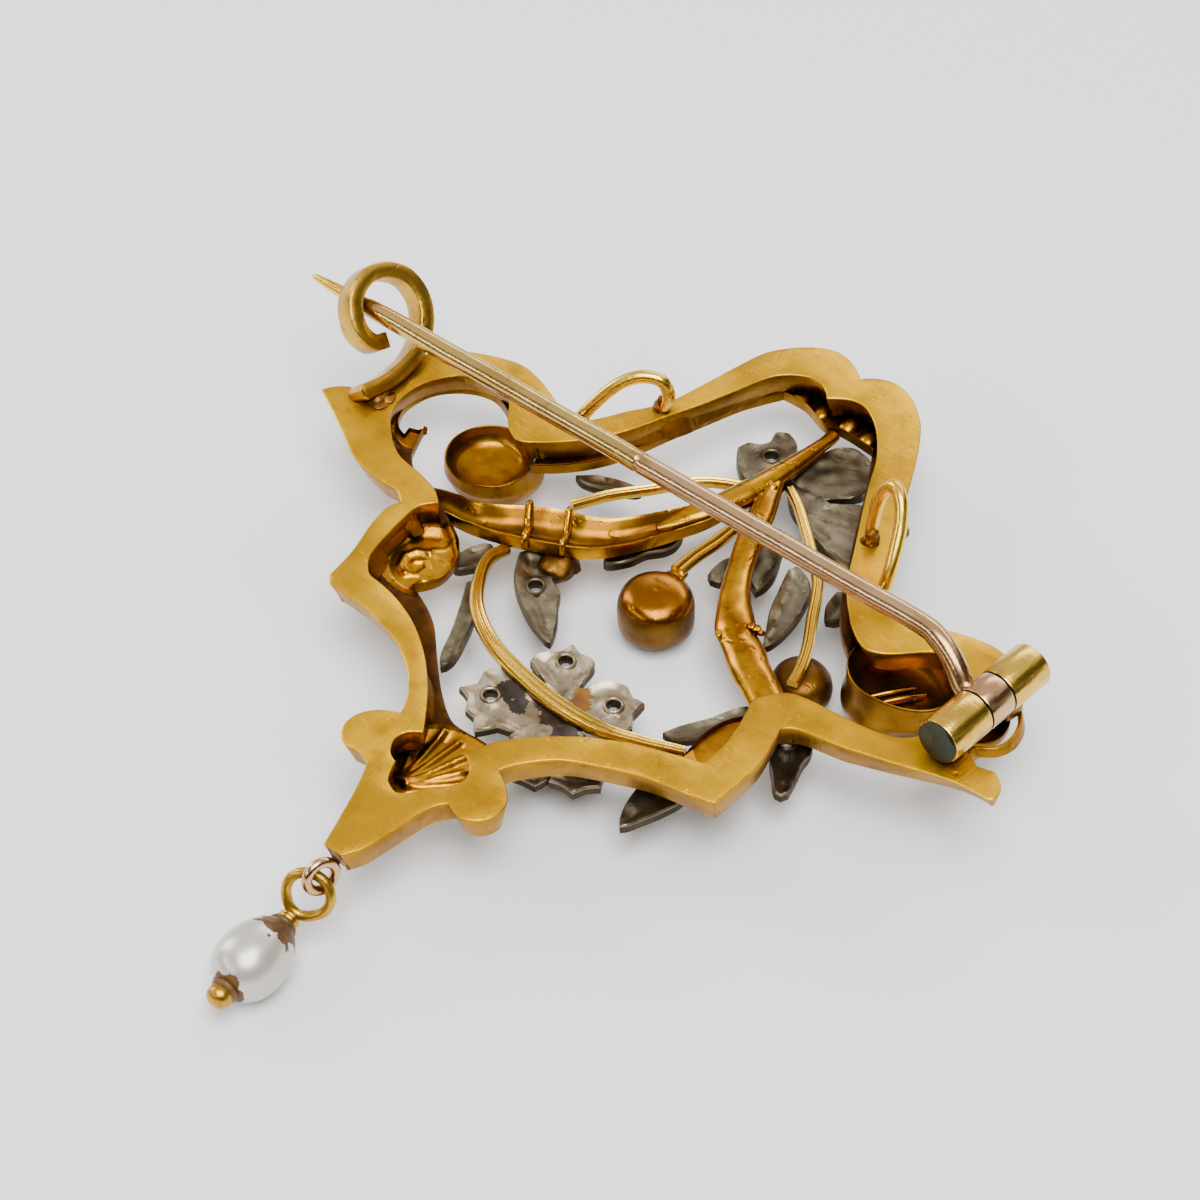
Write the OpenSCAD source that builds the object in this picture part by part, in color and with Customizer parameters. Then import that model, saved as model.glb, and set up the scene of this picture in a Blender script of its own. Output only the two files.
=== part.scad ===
// Pendant brooch of gold and silver, lying face down with its flat back up.
// Millimetres. X runs from the catch to the hinge, Y from the drop to the top notch, Z up.
// The floor is Z = 0. Every piece below is drawn around the frame's own point, where the
// flat back is z = 0 and the front lies at negative z, and then raised by front_depth.

/* [Frame] */
// Depth of the whole front below the flat back, down to the stones that it lies on
front_depth = 3.9; // [3:0.1:5]
// Depth of the plate with the sharp outer edge below the flat back
wall_depth = 0.3; // [0.2:0.1:1]
// Depth of the frame's front face below the flat back
skin_depth = 1.6; // [1.4:0.1:2.4]
// Level of the floor inside the scrolls, the shell and the fan below the flat back
floor_depth = 1.1; // [1:0.1:1.6]
// How far the front face is drawn in from the outer wall
front_inset = 0.6; // [0.2:0.05:1]

/* [Hinge] */
// Radius of the hinge barrel
barrel_r = 0.9; // [0.7:0.05:1.2]
// Radius of the rivet in the barrel
rivet_r = 0.4; // [0.3:0.05:0.5]
// Height of the barrel's axis above the flat back
barrel_z = 1.0; // [0.9:0.05:1.3]
// Length of the knuckle at the lower end of the barrel
near_length = 2; // [1.5:0.1:2.2]
// Length of the knuckle that belongs to the pin
mid_length = 1.2; // [1:0.1:1.6]
// Length of the knuckle at the upper end of the barrel
far_length = 1.95; // [1.5:0.05:2.2]
// Gap between two knuckles
knuckle_gap = 0.06; // [0.03:0.01:0.1]

/* [Pin] */
// Radius of the pin's shank
shank_r = 0.43; // [0.35:0.01:0.5]
// Height of the shank's axis above the flat back
shank_z = 2.15; // [2:0.05:2.6]
// Angle at which the pin stands away from the catch
pin_open = 0; // [0:1:105]

/* [Wires] */
// Thickness of the chain loops' wire
loop_wire = 0.45; // [0.35:0.05:0.6]
// Thickness of the ring and the loop that carry the drop
drop_wire = 0.4; // [0.3:0.02:0.5]

/* [Sprays] */
// Thickness of the silver leaves and petals
silver_t = 0.4; // [0.3:0.05:0.8]
// Depth of the leaves' backs below the flat back
silver_depth = 1.85; // [1.8:0.05:2.4]
// Radius of the holes drilled behind the small stones
drill_r = 0.28; // [0.2:0.02:0.4]

/* [Pearl] */
// Largest width of the pearl
pearl_w = 2.65; // [2:0.05:3]
// Length of the pearl
pearl_l = 3.5; // [2.8:0.1:4]

/* [Build] */
// The piece to build, or all of them

/* [Hidden] */
// Straight parts between two set points of a curved outline
steps = 2;
// Middle of the whole brooch, which becomes the origin
middle = [-1.25, 12.93];
$fn = 48;
gold = [0.85, 0.62, 0.22];
brown_gold = [0.62, 0.38, 0.1];
rose = [0.78, 0.56, 0.44];
silver = [0.46, 0.44, 0.4];

// A smooth curve through the points of one stretch; its last point is left to the next one.
function curve(p) = let (n = len(p) < 3 ? 1 : steps)
    [for (i = [0:len(p) - 2]) for (k = [0:n - 1]) let (
        t = k / n,
        a = p[max(i - 1, 0)],
        b = p[i],
        c = p[i + 1],
        d = p[min(i + 2, len(p) - 1)])
        b + ((c - a) * t + (2 * a - 5 * b + 4 * c - d) * t * t
        + (3 * b - a - 3 * c + d) * t * t * t) / 2];

function path(p) = concat(curve(p), [p[len(p) - 1]]);
function unit(v) = v / norm(v);
function at(r) = [r[0], r[1], r[2]];
function heading(s, i) = unit(at(s[min(i + 1, len(s) - 1)]) - at(s[max(i - 1, 0)]));

// A swept bar. Each row of the table is x, y, z, width and height; side_of is a direction
// that the path never follows, and the width is laid square to it.
module bar(rows, sides = 8, side_of = [0, 0, 1], turn = 0) {
    s = path(rows);
    n = len(s);
    points = [for (i = [0:n - 1]) let (
        d = heading(s, i),
        a = unit(cross(d, side_of)),
        b = cross(a, d))
        for (k = [0:sides - 1]) let (t = 360 * k / sides + turn)
            at(s[i]) + a * cos(t) * s[i][3] / 2 + b * sin(t) * s[i][4] / 2];
    walls = [for (i = [0:n - 2]) for (k = [0:sides - 1]) let (
        p = i * sides + k,
        q = i * sides + (k + 1) % sides)
        each [[p, q, p + sides], [q, q + sides, p + sides]]];
    first = [for (k = [0:sides - 1]) sides - 1 - k];
    last = [for (k = [0:sides - 1]) (n - 1) * sides + k];
    polyhedron(points, concat([first], walls, [last]));
}

// Raises a piece from the frame's own point to the floor's.
module placed() {
    translate([-middle[0], -middle[1], front_depth]) children();
}

// Flat back seen from behind: the outer edge, clockwise from the blunt lower tip.
function outer_edge() = concat(
    curve([[-0.4, 0.1], [-1, 2], [-1.35, 3], [-1.75, 3.9]]),
    curve([[-1.75, 3.9], [-2.4, 4.1], [-3, 4.05], [-3.45, 4.4], [-3.65, 4.95], [-3.5, 5.6],
        [-3, 6.15], [-2.4, 6.45]]),
    curve([[-2.4, 6.45], [-2.7, 7.15], [-3.5, 8.1], [-5, 9.05], [-7, 9.6], [-8.8, 9.7]]),
    curve([[-8.8, 9.7], [-9.1, 10]]),
    curve([[-9.1, 10], [-9.25, 11.4], [-9.65, 12.9], [-9.8, 14], [-9.6, 14.65]]),
    curve([[-9.6, 14.65], [-10.2, 15.05], [-11.2, 15.05], [-12.5, 15.3], [-13.5, 15.85],
        [-15, 16.75], [-16.2, 17.4]]),
    curve([[-16.2, 17.4], [-15.9, 17.9], [-15.3, 18.3], [-14.5, 18.25]]),
    curve([[-14.5, 18.25], [-14.75, 18.9], [-14.85, 19.8], [-14.7, 20.9], [-14.2, 21.8],
        [-13.5, 22.5], [-12.6, 23.05], [-10.9, 23.55], [-9.2, 23.1], [-7.8, 22.4]]),
    curve([[-7.8, 22.4], [-6.9, 22.7], [-6, 24.1], [-5.1, 25.5], [-4.6, 27.3], [-4.15, 29.2],
        [-3.7, 30.5], [-2.6, 31.7], [-1.5, 32.15], [-0.6, 31.9], [0.05, 31.45]]),
    curve([[0.05, 31.45], [0.6, 31.9], [1.4, 32.1], [2.4, 31.75], [3.5, 30.75],
        [4.4, 29.25], [5.2, 27.6], [6.1, 25.6], [7, 23.7], [7.7, 22.6], [8.8, 21.95]]),
    curve([[8.8, 21.95], [9.8, 22.1], [11, 22.5], [12.3, 22.8], [13.5, 22.6], [14.8, 21.8],
        [15.7, 20.7], [15.95, 19.5], [15.6, 18.6], [15.1, 18.2]]),
    curve([[15.1, 18.2], [15.65, 17.95], [16.2, 17.7], [16.65, 17.3], [16.8, 16.85],
        [16.6, 16.55], [16, 16.5], [15, 16.4], [13, 15.8], [11, 15.25], [9.4, 14.95],
        [8.85, 14.6]]),
    curve([[8.85, 14.6], [9.1, 13.7], [9.3, 12.6], [9.25, 11], [9.15, 10.25]]),
    curve([[9.15, 10.25], [8, 9.95], [6.5, 9.65], [5, 9.05], [3.6, 8.35], [2.6, 7.3],
        [2.2, 6.6]]),
    curve([[2.2, 6.6], [2.9, 6.15], [3.4, 5.6], [3.5, 5], [3.2, 4.35], [2.5, 4],
        [1.8, 4.25]]),
    curve([[1.8, 4.25], [1.45, 3.7], [1.2, 2.5], [0.9, 0.9], [0.45, 0.05]]),
    [[0.45, 0.05]]);

// The inner edge of the flat back, from the foot of the shell round by the catch side.
function inner_edge() = concat(
    curve([[0, 3.5], [-0.6, 3.75], [-0.98, 4.6]]),
    curve([[-0.98, 4.6], [-1.4, 4.8], [-1.7, 5.35], [-1.55, 5.9], [-1.1, 6.25]]),
    curve([[-1.1, 6.25], [-2.2, 7.75], [-3.5, 9.1], [-5, 10.15], [-6.5, 10.75],
        [-7.9, 11]]),
    curve([[-7.9, 11], [-8.5, 11.6], [-8.8, 13], [-8.9, 14.8], [-8.4, 15.5]]),
    curve([[-8.4, 15.5], [-9, 16], [-10.2, 16.35], [-11.3, 16.55], [-12.4, 17.3],
        [-13.2, 18.3], [-13.4, 19.5], [-13.1, 20.6], [-12.3, 21.6], [-11.1, 22], [-10, 21.6],
        [-9.3, 20.7], [-8.4, 20.1], [-7.6, 20.5], [-6.5, 21.5], [-5.4, 23], [-4.5, 25],
        [-3.8, 26.6], [-3.2, 28.2], [-2.6, 29.5], [-1.6, 30.2], [-0.8, 30.1],
        [-0.3, 29.65]]),
    curve([[-0.3, 29.65], [0.4, 30.15], [1.2, 30.2], [2.2, 29.5], [3.2, 28.2],
        [3.8, 26.9], [4.5, 25.5], [5.5, 23.6], [6.4, 21.9], [7.3, 20.8], [8, 20.15],
        [8.9, 19.7], [9.8, 20.1], [10.9, 21.1], [12.1, 21.4], [13, 20.7], [13.4, 19.4],
        [13.2, 18], [12.4, 16.95], [10.9, 16.55], [9, 16.4], [7.9, 16.1], [7.15, 15.1]]),
    curve([[7.15, 15.1], [7.5, 13.9], [7.7, 12.7], [7.65, 11.5]]),
    curve([[7.65, 11.5], [6.5, 11.15], [5, 10.55], [3.5, 9.75], [2, 8.5], [1.1, 7.4],
        [0.75, 6.4]]),
    curve([[0.75, 6.4], [1.3, 6], [1.5, 5.45], [1.25, 4.9], [0.7, 4.35]]),
    curve([[0.7, 4.35], [0.4, 3.8], [0, 3.5]]));

// The opening in the front face, which is smaller: floors stand behind the scrolls, the
// shell and the fan.
function front_edge() = concat(
    curve([[0, 8.1], [-1.2, 8.1], [-2.3, 8.8], [-3.2, 9.6], [-4.1, 10.5], [-4.9, 11.3],
        [-5.8, 11.9], [-6.9, 12.4]]),
    curve([[-6.9, 12.4], [-6.6, 12.8], [-6.4, 13.3], [-6.4, 13.9], [-6.6, 14.6], [-7.2, 15.4],
        [-8.3, 16.05]]),
    curve([[-8.3, 16.05], [-9.4, 16.6], [-10.5, 17], [-11.2, 17.3], [-11.7, 17.8],
        [-12, 18.5], [-12.3, 19.3]]),
    curve([[-12.3, 19.3], [-12.45, 18.9], [-12.8, 18.75], [-12.75, 18.4]]),
    curve([[-12.75, 18.4], [-13.1, 18.6], [-13.45, 19.2], [-13.5, 20], [-13.2, 21],
        [-12.4, 21.9], [-11.3, 22.3], [-10, 21.6], [-9.2, 20.5], [-8.4, 19.9], [-7.5, 20.3],
        [-6.3, 21.4], [-5.3, 22.95], [-4.55, 25.1], [-3.95, 26.7], [-3.35, 28.3],
        [-2.5, 29.8]]),
    curve([[-2.5, 29.8], [-1.5, 29.8], [-0.7, 29.5], [0, 29.3], [0.4, 29.5], [1.2, 29.5],
        [2.1, 29.4]]),
    curve([[2.1, 29.4], [3, 27.9], [3.6, 26.7], [4.3, 25.3], [5.3, 23.4], [6.2, 21.7],
        [7.2, 20.5], [8, 19.9], [8.9, 19.45], [9.9, 19.9], [11, 20.9], [12.1, 21.2],
        [12.8, 20.6], [13.2, 19.4], [13, 18.1], [12.3, 17.1], [10.9, 16.7], [9, 16.55],
        [8.1, 16.1]]),
    curve([[8.1, 16.1], [7.1, 15.4], [6.4, 14.5], [6.15, 13.4], [6.2, 12.2]]),
    curve([[6.2, 12.2], [5.4, 11.6], [4.4, 10.95], [3.4, 10], [2.4, 9], [1.2, 8.2],
        [0, 8.1]]));

// The wall below the sharp edge is drawn in on the catch side and full on the hinge side, and
// the front face lies further from the lower edges than from the upper ones.
lower_lean = [0.18, 0.02];
front_lean = [-0.3, 0.3];

// The hollow arm by the hinge carries no flat back: what is cut away, and the channel in it.
right_arm = [[17, 18], [15.4, 17.6], [13, 18.8], [12.9, 20.6], [13.9, 22.3], [17, 22]];

module arm_cut(low, high) {
    translate([0, 0, low]) linear_extrude(high - low) polygon(right_arm);
}

module arm_channel() {
    translate([0, 0, -floor_depth]) linear_extrude(floor_depth + 1) intersection() {
        difference() {
            offset(delta = -0.7, chamfer = true) polygon(outer_edge());
            offset(delta = 0.35, chamfer = true) polygon(inner_edge());
        }
        offset(delta = -0.25) polygon(right_arm);
    }
}

// A curl in each lower corner, a ribbed shell at the foot and a ribbed fan at the top.
module relief() {
    for (side = [-1, 1]) translate([side * 7.5, 13.1, -floor_depth - 0.05]) difference() {
        cylinder(r = 0.95, h = 0.5);
        translate([0, 0, 0.25]) cylinder(r = 0.6, h = 1);
    }
    for (a = [-30:15:30]) translate([0, 3.5, -floor_depth - 0.05]) rotate(-a)
        translate([-0.13, 0.6, 0]) cube([0.26, 3.2, 0.3]);
    for (a = [-50:25:50]) translate([0, 31.2, -floor_depth - 0.05]) rotate(a)
        translate([-0.2, -1.9, 0]) cube([0.4, 0.9, 0.3]);
}

module frame() color(gold) placed() difference() {
    union() {
        translate([0, 0, -wall_depth]) linear_extrude(wall_depth) difference() {
            polygon(outer_edge());
            polygon(inner_edge());
        }
        translate([0, 0, -floor_depth]) linear_extrude(floor_depth - wall_depth) difference() {
            translate(lower_lean) offset(delta = -0.35, chamfer = true) polygon(outer_edge());
            polygon(inner_edge());
        }
        translate([0, 0, -skin_depth]) linear_extrude(skin_depth - floor_depth) difference() {
            translate(front_lean) offset(delta = -front_inset, chamfer = true)
                polygon(outer_edge());
            polygon(front_edge());
        }
        relief();
    }
    arm_cut(-0.45, 1);
    arm_channel();
    for (p = [left_collet, right_collet]) translate([p[0], p[1], -skin_depth - 1]) {
        cylinder(r = collet_r + 0.05, h = skin_depth - 0.45);
        translate([0, -rim_shift(p), 0]) cylinder(r = 1.85, h = skin_depth + 1 - wall_depth);
    }
}

// The C-shaped catch: a flat strip that leans outward and coils back over the pin.
catch_foot = [-14.3, 18.2, 0.05];
catch_lean = 42.4;
function catch_row(s, t) = concat(
    catch_foot + [-sin(catch_lean) * t, s, cos(catch_lean) * t], [0.85, 0.88]);

module catch() color(brown_gold) placed() difference() {
    catch_strip();
    translate([-17, 15, -0.98]) cube([6, 6, 1]);
}

module catch_strip() {
    bar([for (p = [[0.05, 0.35], [0.7, 0.18], [1.6, 0.15], [2.65, 0.3], [3.66, 0.8], [4.27, 1.5],
        [4.5, 2.3], [4.3, 3.15], [3.55, 3.8], [2.6, 3.95], [1.65, 3.5], [1.15, 2.55],
        [1.35, 1.75], [1.9, 1.5]]) catch_row(p[0], p[1])],
        4, [cos(catch_lean), 0, sin(catch_lean)], 45);
    translate([-14.25, 18.15, 0.02]) cylinder(r = 0.5, h = 0.45);
}

module chain_loop_left() color(gold) placed() {
    w = loop_wire;
    bar([[-5, 25.1, 0.1, w, w], [-4.7, 25.05, 0.6, w, w], [-4.65, 25, 1.1, w, w],
        [-4.95, 24.95, 1.6, w, w], [-5.6, 24.6, 1.7, w, w], [-6.15, 24.1, 1.5, w, w],
        [-6.55, 23.5, 1.1, w, w], [-6.95, 22.75, 0.4, w, w], [-7.1, 22.5, 0.1, w, w]],
        6, [0.78, -0.63, 0]);
}

module chain_loop_right() color(gold) placed() {
    w = loop_wire;
    bar([[5.75, 24.3, 0.05, w, w], [5.65, 24.55, 1, w, w], [5.7, 24.85, 2, w, w],
        [6.15, 24.95, 2.75, w, w], [6.8, 24.55, 2.65, w, w], [7.25, 23.95, 2, w, w],
        [7.6, 23.1, 1.2, w, w], [7.75, 22.5, 0.5, w, w], [7.7, 22.2, 0.08, w, w]],
        6, [0.73, 0.68, 0]);
}

// The barrel: its lower end, the way it runs, and where each knuckle starts along it.
barrel_foot = [14.1, 16.9, barrel_z];
barrel_skew = 5;
mid_start = near_length + knuckle_gap;
far_start = mid_start + mid_length + knuckle_gap;
barrel_length = far_start + far_length;

module on_barrel(along) {
    translate(barrel_foot) rotate(-barrel_skew) translate([0, along, 0]) children();
}

module knuckle(start, length) {
    on_barrel(start) rotate([-90, 0, 0]) difference() {
        cylinder(r = barrel_r, h = length);
        translate([0, 0, -1]) cylinder(r = rivet_r + 0.03, h = length + 2);
    }
}

module foot(start, length, bottom) {
    on_barrel(start) difference() {
        translate([-0.5, 0, bottom - barrel_z]) cube([1, length, barrel_z - bottom]);
        translate([0, -1, 0]) rotate([-90, 0, 0]) cylinder(r = barrel_r - 0.2, h = length + 2);
    }
}

module hinge_knuckle_near() color(gold) placed() union() {
    knuckle(0, near_length);
    foot(0.15, 0.9, 0.02);
}

module hinge_knuckle_far() color(gold) placed() union() {
    knuckle(far_start, far_length);
    foot(far_start + 0.1, far_length - 0.8, -0.42);
}

module hinge_rivet() color([0.2, 0.22, 0.2]) placed() on_barrel(0) rotate([-90, 0, 0]) union() {
    translate([0, 0, -0.12]) cylinder(r = barrel_r - 0.06, h = 0.1);
    translate([0, 0, -0.05]) cylinder(r = rivet_r, h = barrel_length + 0.05);
}

// The pin: a straight shank with its point beyond the catch and a bend down to the barrel.
shank_tip = [-16.4, 20.5, shank_z];
shank_end = [11.2, 20.3, shank_z];
shank_length = norm(shank_end - shank_tip);
shank_skew = atan2(shank_end[1] - shank_tip[1], shank_end[0] - shank_tip[0]);

// The thin point, the step where it leaves the catch, and the long even shank.
module pin_shank() {
    rotate([0, 90, 0]) rotate_extrude() polygon([[0, -2.9], [0.06, -2.9], [0.24, -0.9],
        [0.27, 0], [0.36, 0.05], [shank_r, 4], [shank_r, shank_length],
        [0, shank_length]]);
}

// The bend runs from inside the shank's end into the wall of the pin's knuckle.
module pin_bend() {
    w = 2 * shank_r;
    bar([[10.9, 20.31, shank_z, w - 0.03, w - 0.03], [11.6, 20.2, 2.1, w, w],
        [12.3, 20, 1.85, w + 0.03, w], [12.85, 19.8, 1.45, w + 0.05, w],
        [13.25, 19.65, 1.05, w + 0.08, w], [13.7, 19.6, 0.9, w + 0.08, w - 0.1]], 12);
}

module swing(angle) {
    translate(barrel_foot) rotate(-barrel_skew) rotate([0, angle, 0]) rotate(barrel_skew)
        translate(-barrel_foot) children();
}

module pin_stem() color(rose) placed() swing(pin_open) union() {
    knuckle(mid_start, mid_length);
    translate(shank_tip) rotate(shank_skew) pin_shank();
    pin_bend();
}

// The branch: a trunk that rises to the fan and two arms that spread to the side webs.
module branch() color(brown_gold) placed() union() {
    bar([[-8.5, 16.75, -1.45, 0.7, 0.5], [-8.1, 16.75, -1.42, 1, 0.7],
        [-7.5, 16.85, -1.4, 1.15, 0.8], [-6.65, 17.2, -1.4, 1.5, 0.85],
        [-5.76, 17.7, -1.4, 1.85, 0.85], [-4.56, 18.3, -1.4, 1.95, 0.85],
        [-3.67, 18.7, -1.4, 1.85, 0.85], [-2.75, 19.5, -1.4, 1.6, 0.8],
        [-1.8, 20.9, -1.4, 1.35, 0.8], [-1, 22.3, -1.4, 1.2, 0.8],
        [-0.6, 23.5, -1.4, 1.1, 0.8],
        [-0.2, 24.8, -1.4, 1.15, 0.8], [0, 26, -1.4, 1, 0.75], [0.2, 27.4, -1.4, 0.8, 0.65],
        [0.32, 28.6, -1.42, 0.6, 0.5], [0.35, 29.25, -1.45, 0.5, 0.45]], 8);
    bar([[0.2, 25.6, -1.4, 0.7, 0.6], [0.75, 24.2, -1.4, 1.05, 0.8],
        [1.35, 22.6, -1.4, 1.1, 0.8], [1.95, 21.2, -1.4, 1, 0.75],
        [2.6, 20, -1.4, 1.15, 0.8], [3.4, 18.95, -1.4, 1.5, 0.85],
        [4.2, 18.15, -1.4, 1.6, 0.85], [5.2, 17.4, -1.4, 1.35, 0.8],
        [6.2, 16.9, -1.42, 1.2, 0.7], [6.9, 16.45, -1.45, 0.8, 0.5],
        [7.2, 16.2, -1.45, 0.6, 0.4]], 8);
}

module arch_wire_left() color(brown_gold) placed()
    bar([[-5.4, 19.9, -1.63, 0.4, 0.4], [-5, 20.6, -1.63, 0.4, 0.4],
        [-4.5, 21.4, -1.63, 0.4, 0.4], [-3.5, 22.6, -1.63, 0.4, 0.4],
        [-2.4, 24, -1.63, 0.4, 0.4], [-1.6, 24.6, -1.63, 0.4, 0.4],
        [-0.95, 24.95, -1.63, 0.35, 0.35]], 6);

module arch_wire_right() color(brown_gold) placed()
    bar([[0.85, 25.9, -1.63, 0.35, 0.35], [1.6, 25.4, -1.63, 0.4, 0.4],
        [3.2, 24, -1.63, 0.4, 0.4], [4.6, 22.6, -1.63, 0.4, 0.4],
        [5.6, 20.9, -1.63, 0.4, 0.4], [6.3, 19.7, -1.63, 0.4, 0.4],
        [6.75, 18.7, -1.63, 0.4, 0.4], [7, 17.9, -1.63, 0.35, 0.35]], 6);

module garland_wire() color(gold) placed()
    bar([[-6.1, 16.05, -1.6, 0.35, 0.35], [-5.95, 15.5, -1.6, 0.35, 0.35],
        [-5.6, 14.8, -1.6, 0.4, 0.4], [-4.6, 13.4, -1.6, 0.45, 0.4],
        [-3, 12.3, -1.6, 0.5, 0.4], [-1.1, 11.75, -1.6, 0.6, 0.45],
        [0.9, 11.45, -1.6, 0.65, 0.45], [2.9, 11.5, -1.6, 0.6, 0.45],
        [4.4, 11.95, -1.6, 0.45, 0.4], [5.9, 12.6, -1.6, 0.35, 0.35]], 6);

module cup_stem() color(brown_gold) placed() for (side = [-1, 1])
    bar([[0.4 + side * 0.12, 22.9, -1.5, 0.28, 0.6], [0.35 + side * 0.12, 21.8, -1.5, 0.28, 0.6],
        [0.2 + side * 0.12, 20.6, -1.5, 0.28, 0.6], [0.17 + side * 0.12, 19.75, -1.5, 0.28, 0.6]],
        6);

// Cups and collets are turned; each holds a plain rounded stone at the front.
left_collet = [-9.6, 20.3];
right_collet = [9.85, 20.3];
collet_r = 1.95;

// The left collet's open rim lies to one side of its bulge.
function rim_shift(p) = p[0] < 0 ? 0.4 : 0;

// A bulging ring with the stone in front and, set to one side of its middle, an open cup.
module collet(back, shift) {
    difference() {
        union() {
            rotate_extrude() polygon([[0, -1.95], [1.7, -1.95], [collet_r, -2.2],
                [collet_r, -2.7], [1.65, -3.1], [1.45, -3.1], [1.45, -2.75], [0, -2.75]]);
            translate([0, -shift, -2.3]) cylinder(r = 1.8, h = 2.3 - back);
        }
        translate([0, -shift, -2.4]) cylinder(r1 = 1.3, r2 = 1.65, h = 0.2);
        translate([0, -shift, -2.2]) cylinder(r = 1.65, h = 2);
    }
}

module closed_cup(r, top) {
    rotate_extrude() polygon([[0, -top], [r * 0.6, -top - 0.03], [r * 0.86, -top - 0.14],
        [r * 0.97, -top - 0.35], [r, -top - 0.6], [r * 0.97, -3.2], [r - 0.25, -3.2],
        [r - 0.25, -2.8], [0, -2.8]]);
}

module round_stone(r, top) {
    translate([0, 0, -top]) rotate([180, 0, 0]) intersection() {
        cylinder(r = r, h = front_depth - top);
        translate([0, 0, front_depth - top - dome(r, top)]) sphere(r = dome(r, top));
    }
}

// Radius of the ball whose cap has the stone's width and height.
function dome(r, top) = let (h = front_depth - top) (r * r + h * h) / (2 * h) + 0.15;

module collet_left() color(gold) placed() translate(left_collet)
    collet(1.5, rim_shift(left_collet));
module collet_right() color(gold) placed() translate(right_collet)
    collet(0.85, rim_shift(right_collet));
module centre_cup() color(brown_gold) placed() translate([0.2, 18.2]) closed_cup(1.5, 1.35);
module side_cup() color(brown_gold) placed() translate([6.75, 18.75]) closed_cup(1.2, 1.88);
module stone_left() color("white") placed() translate(left_collet) round_stone(1.4, 2.8);
module stone_right() color("white") placed() translate(right_collet) round_stone(1.4, 2.8);
module stone_centre() color("white") placed() translate([0.2, 18.2]) round_stone(1.15, 2.85);
module stone_side() color("white") placed() translate([6.75, 18.75]) round_stone(0.9, 2.85);

// Silver leaves and petals: flat plates with their backs at one level.
module plate(points, level = silver_depth) {
    translate([0, 0, -level - silver_t]) linear_extrude(silver_t) polygon(curve(points));
}

module drilled(holes) {
    difference() {
        union() children();
        for (h = holes) translate([h[0], h[1], -5]) cylinder(r = drill_r, h = 10);
    }
}

// A petal is a disc with blunt points around it.
module petal(x, y, r, points, turn = 0) {
    translate([x, y, -silver_depth - silver_t]) linear_extrude(silver_t)
        polygon([for (k = [0:2 * points - 1]) let (a = turn + 180 * k / points,
            q = k % 2 == 0 ? r * 1.12 : r * 0.92) [q * cos(a), q * sin(a)]]);
}

low_holes = [[-0.4, 13.5], [2.4, 12.9], [-1.5, 10.4], [3.3, 9.75]];
high_hole = [-1.1, 27.2];
leaf_hole = [-3.8, 15.8];

module flower_low() color(silver) placed() drilled(low_holes) union() {
    plate([[-1.5, 12.7], [-1.55, 13.1], [-1.25, 13.5], [-0.9, 13.9], [-0.8, 14.4],
        [-0.3, 14.2], [0.2, 14.3], [0.6, 14], [0.7, 13.4], [0.8, 12.6], [0.4, 12.1],
        [-0.5, 12.2], [-1.5, 12.7]]);
    plate([[0.9, 12.6], [1.1, 13.3], [1.4, 13.75], [1.8, 13.95], [2.2, 14], [2.7, 13.7],
        [3.2, 13.75], [3.25, 13], [3.6, 12.5], [3.3, 12.1], [2.4, 11.7], [1.5, 11.6],
        [0.9, 12.6]]);
    plate([[-2.7, 10], [-2.3, 10.6], [-2.5, 11.2], [-2.2, 11.65], [-1.7, 11.75], [-1, 11.5],
        [-0.2, 11.4], [0.6, 11], [1, 10.2], [0.5, 9.6], [-0.3, 9.4], [-0.8, 8.7], [-1.3, 9.2],
        [-1.8, 9.3], [-2.1, 9.8], [-2.7, 10]]);
    petal(3.3, 9.7, 1.1, 7, 300);
    petal(1.9, 8.9, 1, 6, 250);
    petal(0.8, 11.6, 1.25, 9, 0);
    petal(1.6, 10, 1.3, 7, 0);
}

module flower_high() color(silver) placed() drilled([high_hole]) union() {
    plate([[-2.5, 26.8], [-2.35, 27.3], [-1.95, 27.5], [-1.7, 27.9], [-1.85, 28.4],
        [-1.4, 28.75], [-0.7, 28.4], [-0.4, 27.8], [0.2, 27], [0.2, 26], [-0.6, 25.5],
        [-1.4, 25.6], [-2.1, 26.2], [-2.5, 26.8]]);
    plate([[0.1, 26.6], [0.2, 27.4], [0.3, 28.5], [0.6, 29.3], [1.3, 29.7], [2.3, 29.4],
        [2.8, 28.6], [3, 27.7], [2.3, 26.9], [1.6, 26.4], [0.1, 26.6]]);
    plate([[0.1, 26.6], [1.3, 26.7], [2.3, 26.6], [3.1, 27.2], [4.6, 27.6], [5.5, 27.4],
        [5.5, 26.4], [6.1, 25.8], [5.9, 24.8], [5.3, 24.1], [3.8, 24.3], [2.6, 24.7],
        [1.2, 25.4], [0.1, 26.6]]);
}

module leaf_a() color(silver) placed() drilled([leaf_hole]) union() {
    plate([[-5.5, 16.8], [-4.9, 15.8], [-4.3, 15.2], [-3.6, 14.7], [-2.9, 14.3], [-2.1, 14],
        [-1.5, 13.9], [-1.9, 14.8], [-2.5, 15.6], [-2.9, 16.2], [-3.5, 16.5], [-4.2, 17],
        [-5, 17.4], [-5.5, 16.8]]);
    translate([-4.1, 17.3, -silver_depth - silver_t]) cylinder(r = 0.85, h = silver_t);
}

module leaf_b() color(silver) placed()
    plate([[-7.3, 15.2], [-7.1, 16], [-6.6, 16.5], [-6.2, 16.2], [-6.1, 15.6], [-6.6, 14.7],
        [-7, 14.6], [-7.3, 15.2]]);

module leaf_c() color(silver) placed()
    plate([[-6.05, 14.3], [-5.7, 14.55], [-4.6, 13.15], [-4.1, 12.05], [-3.75, 10.95],
        [-3.9, 10.35], [-4.4, 10.95], [-4.8, 11.95], [-5.4, 13.15], [-6.05, 14.3]]);

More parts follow.
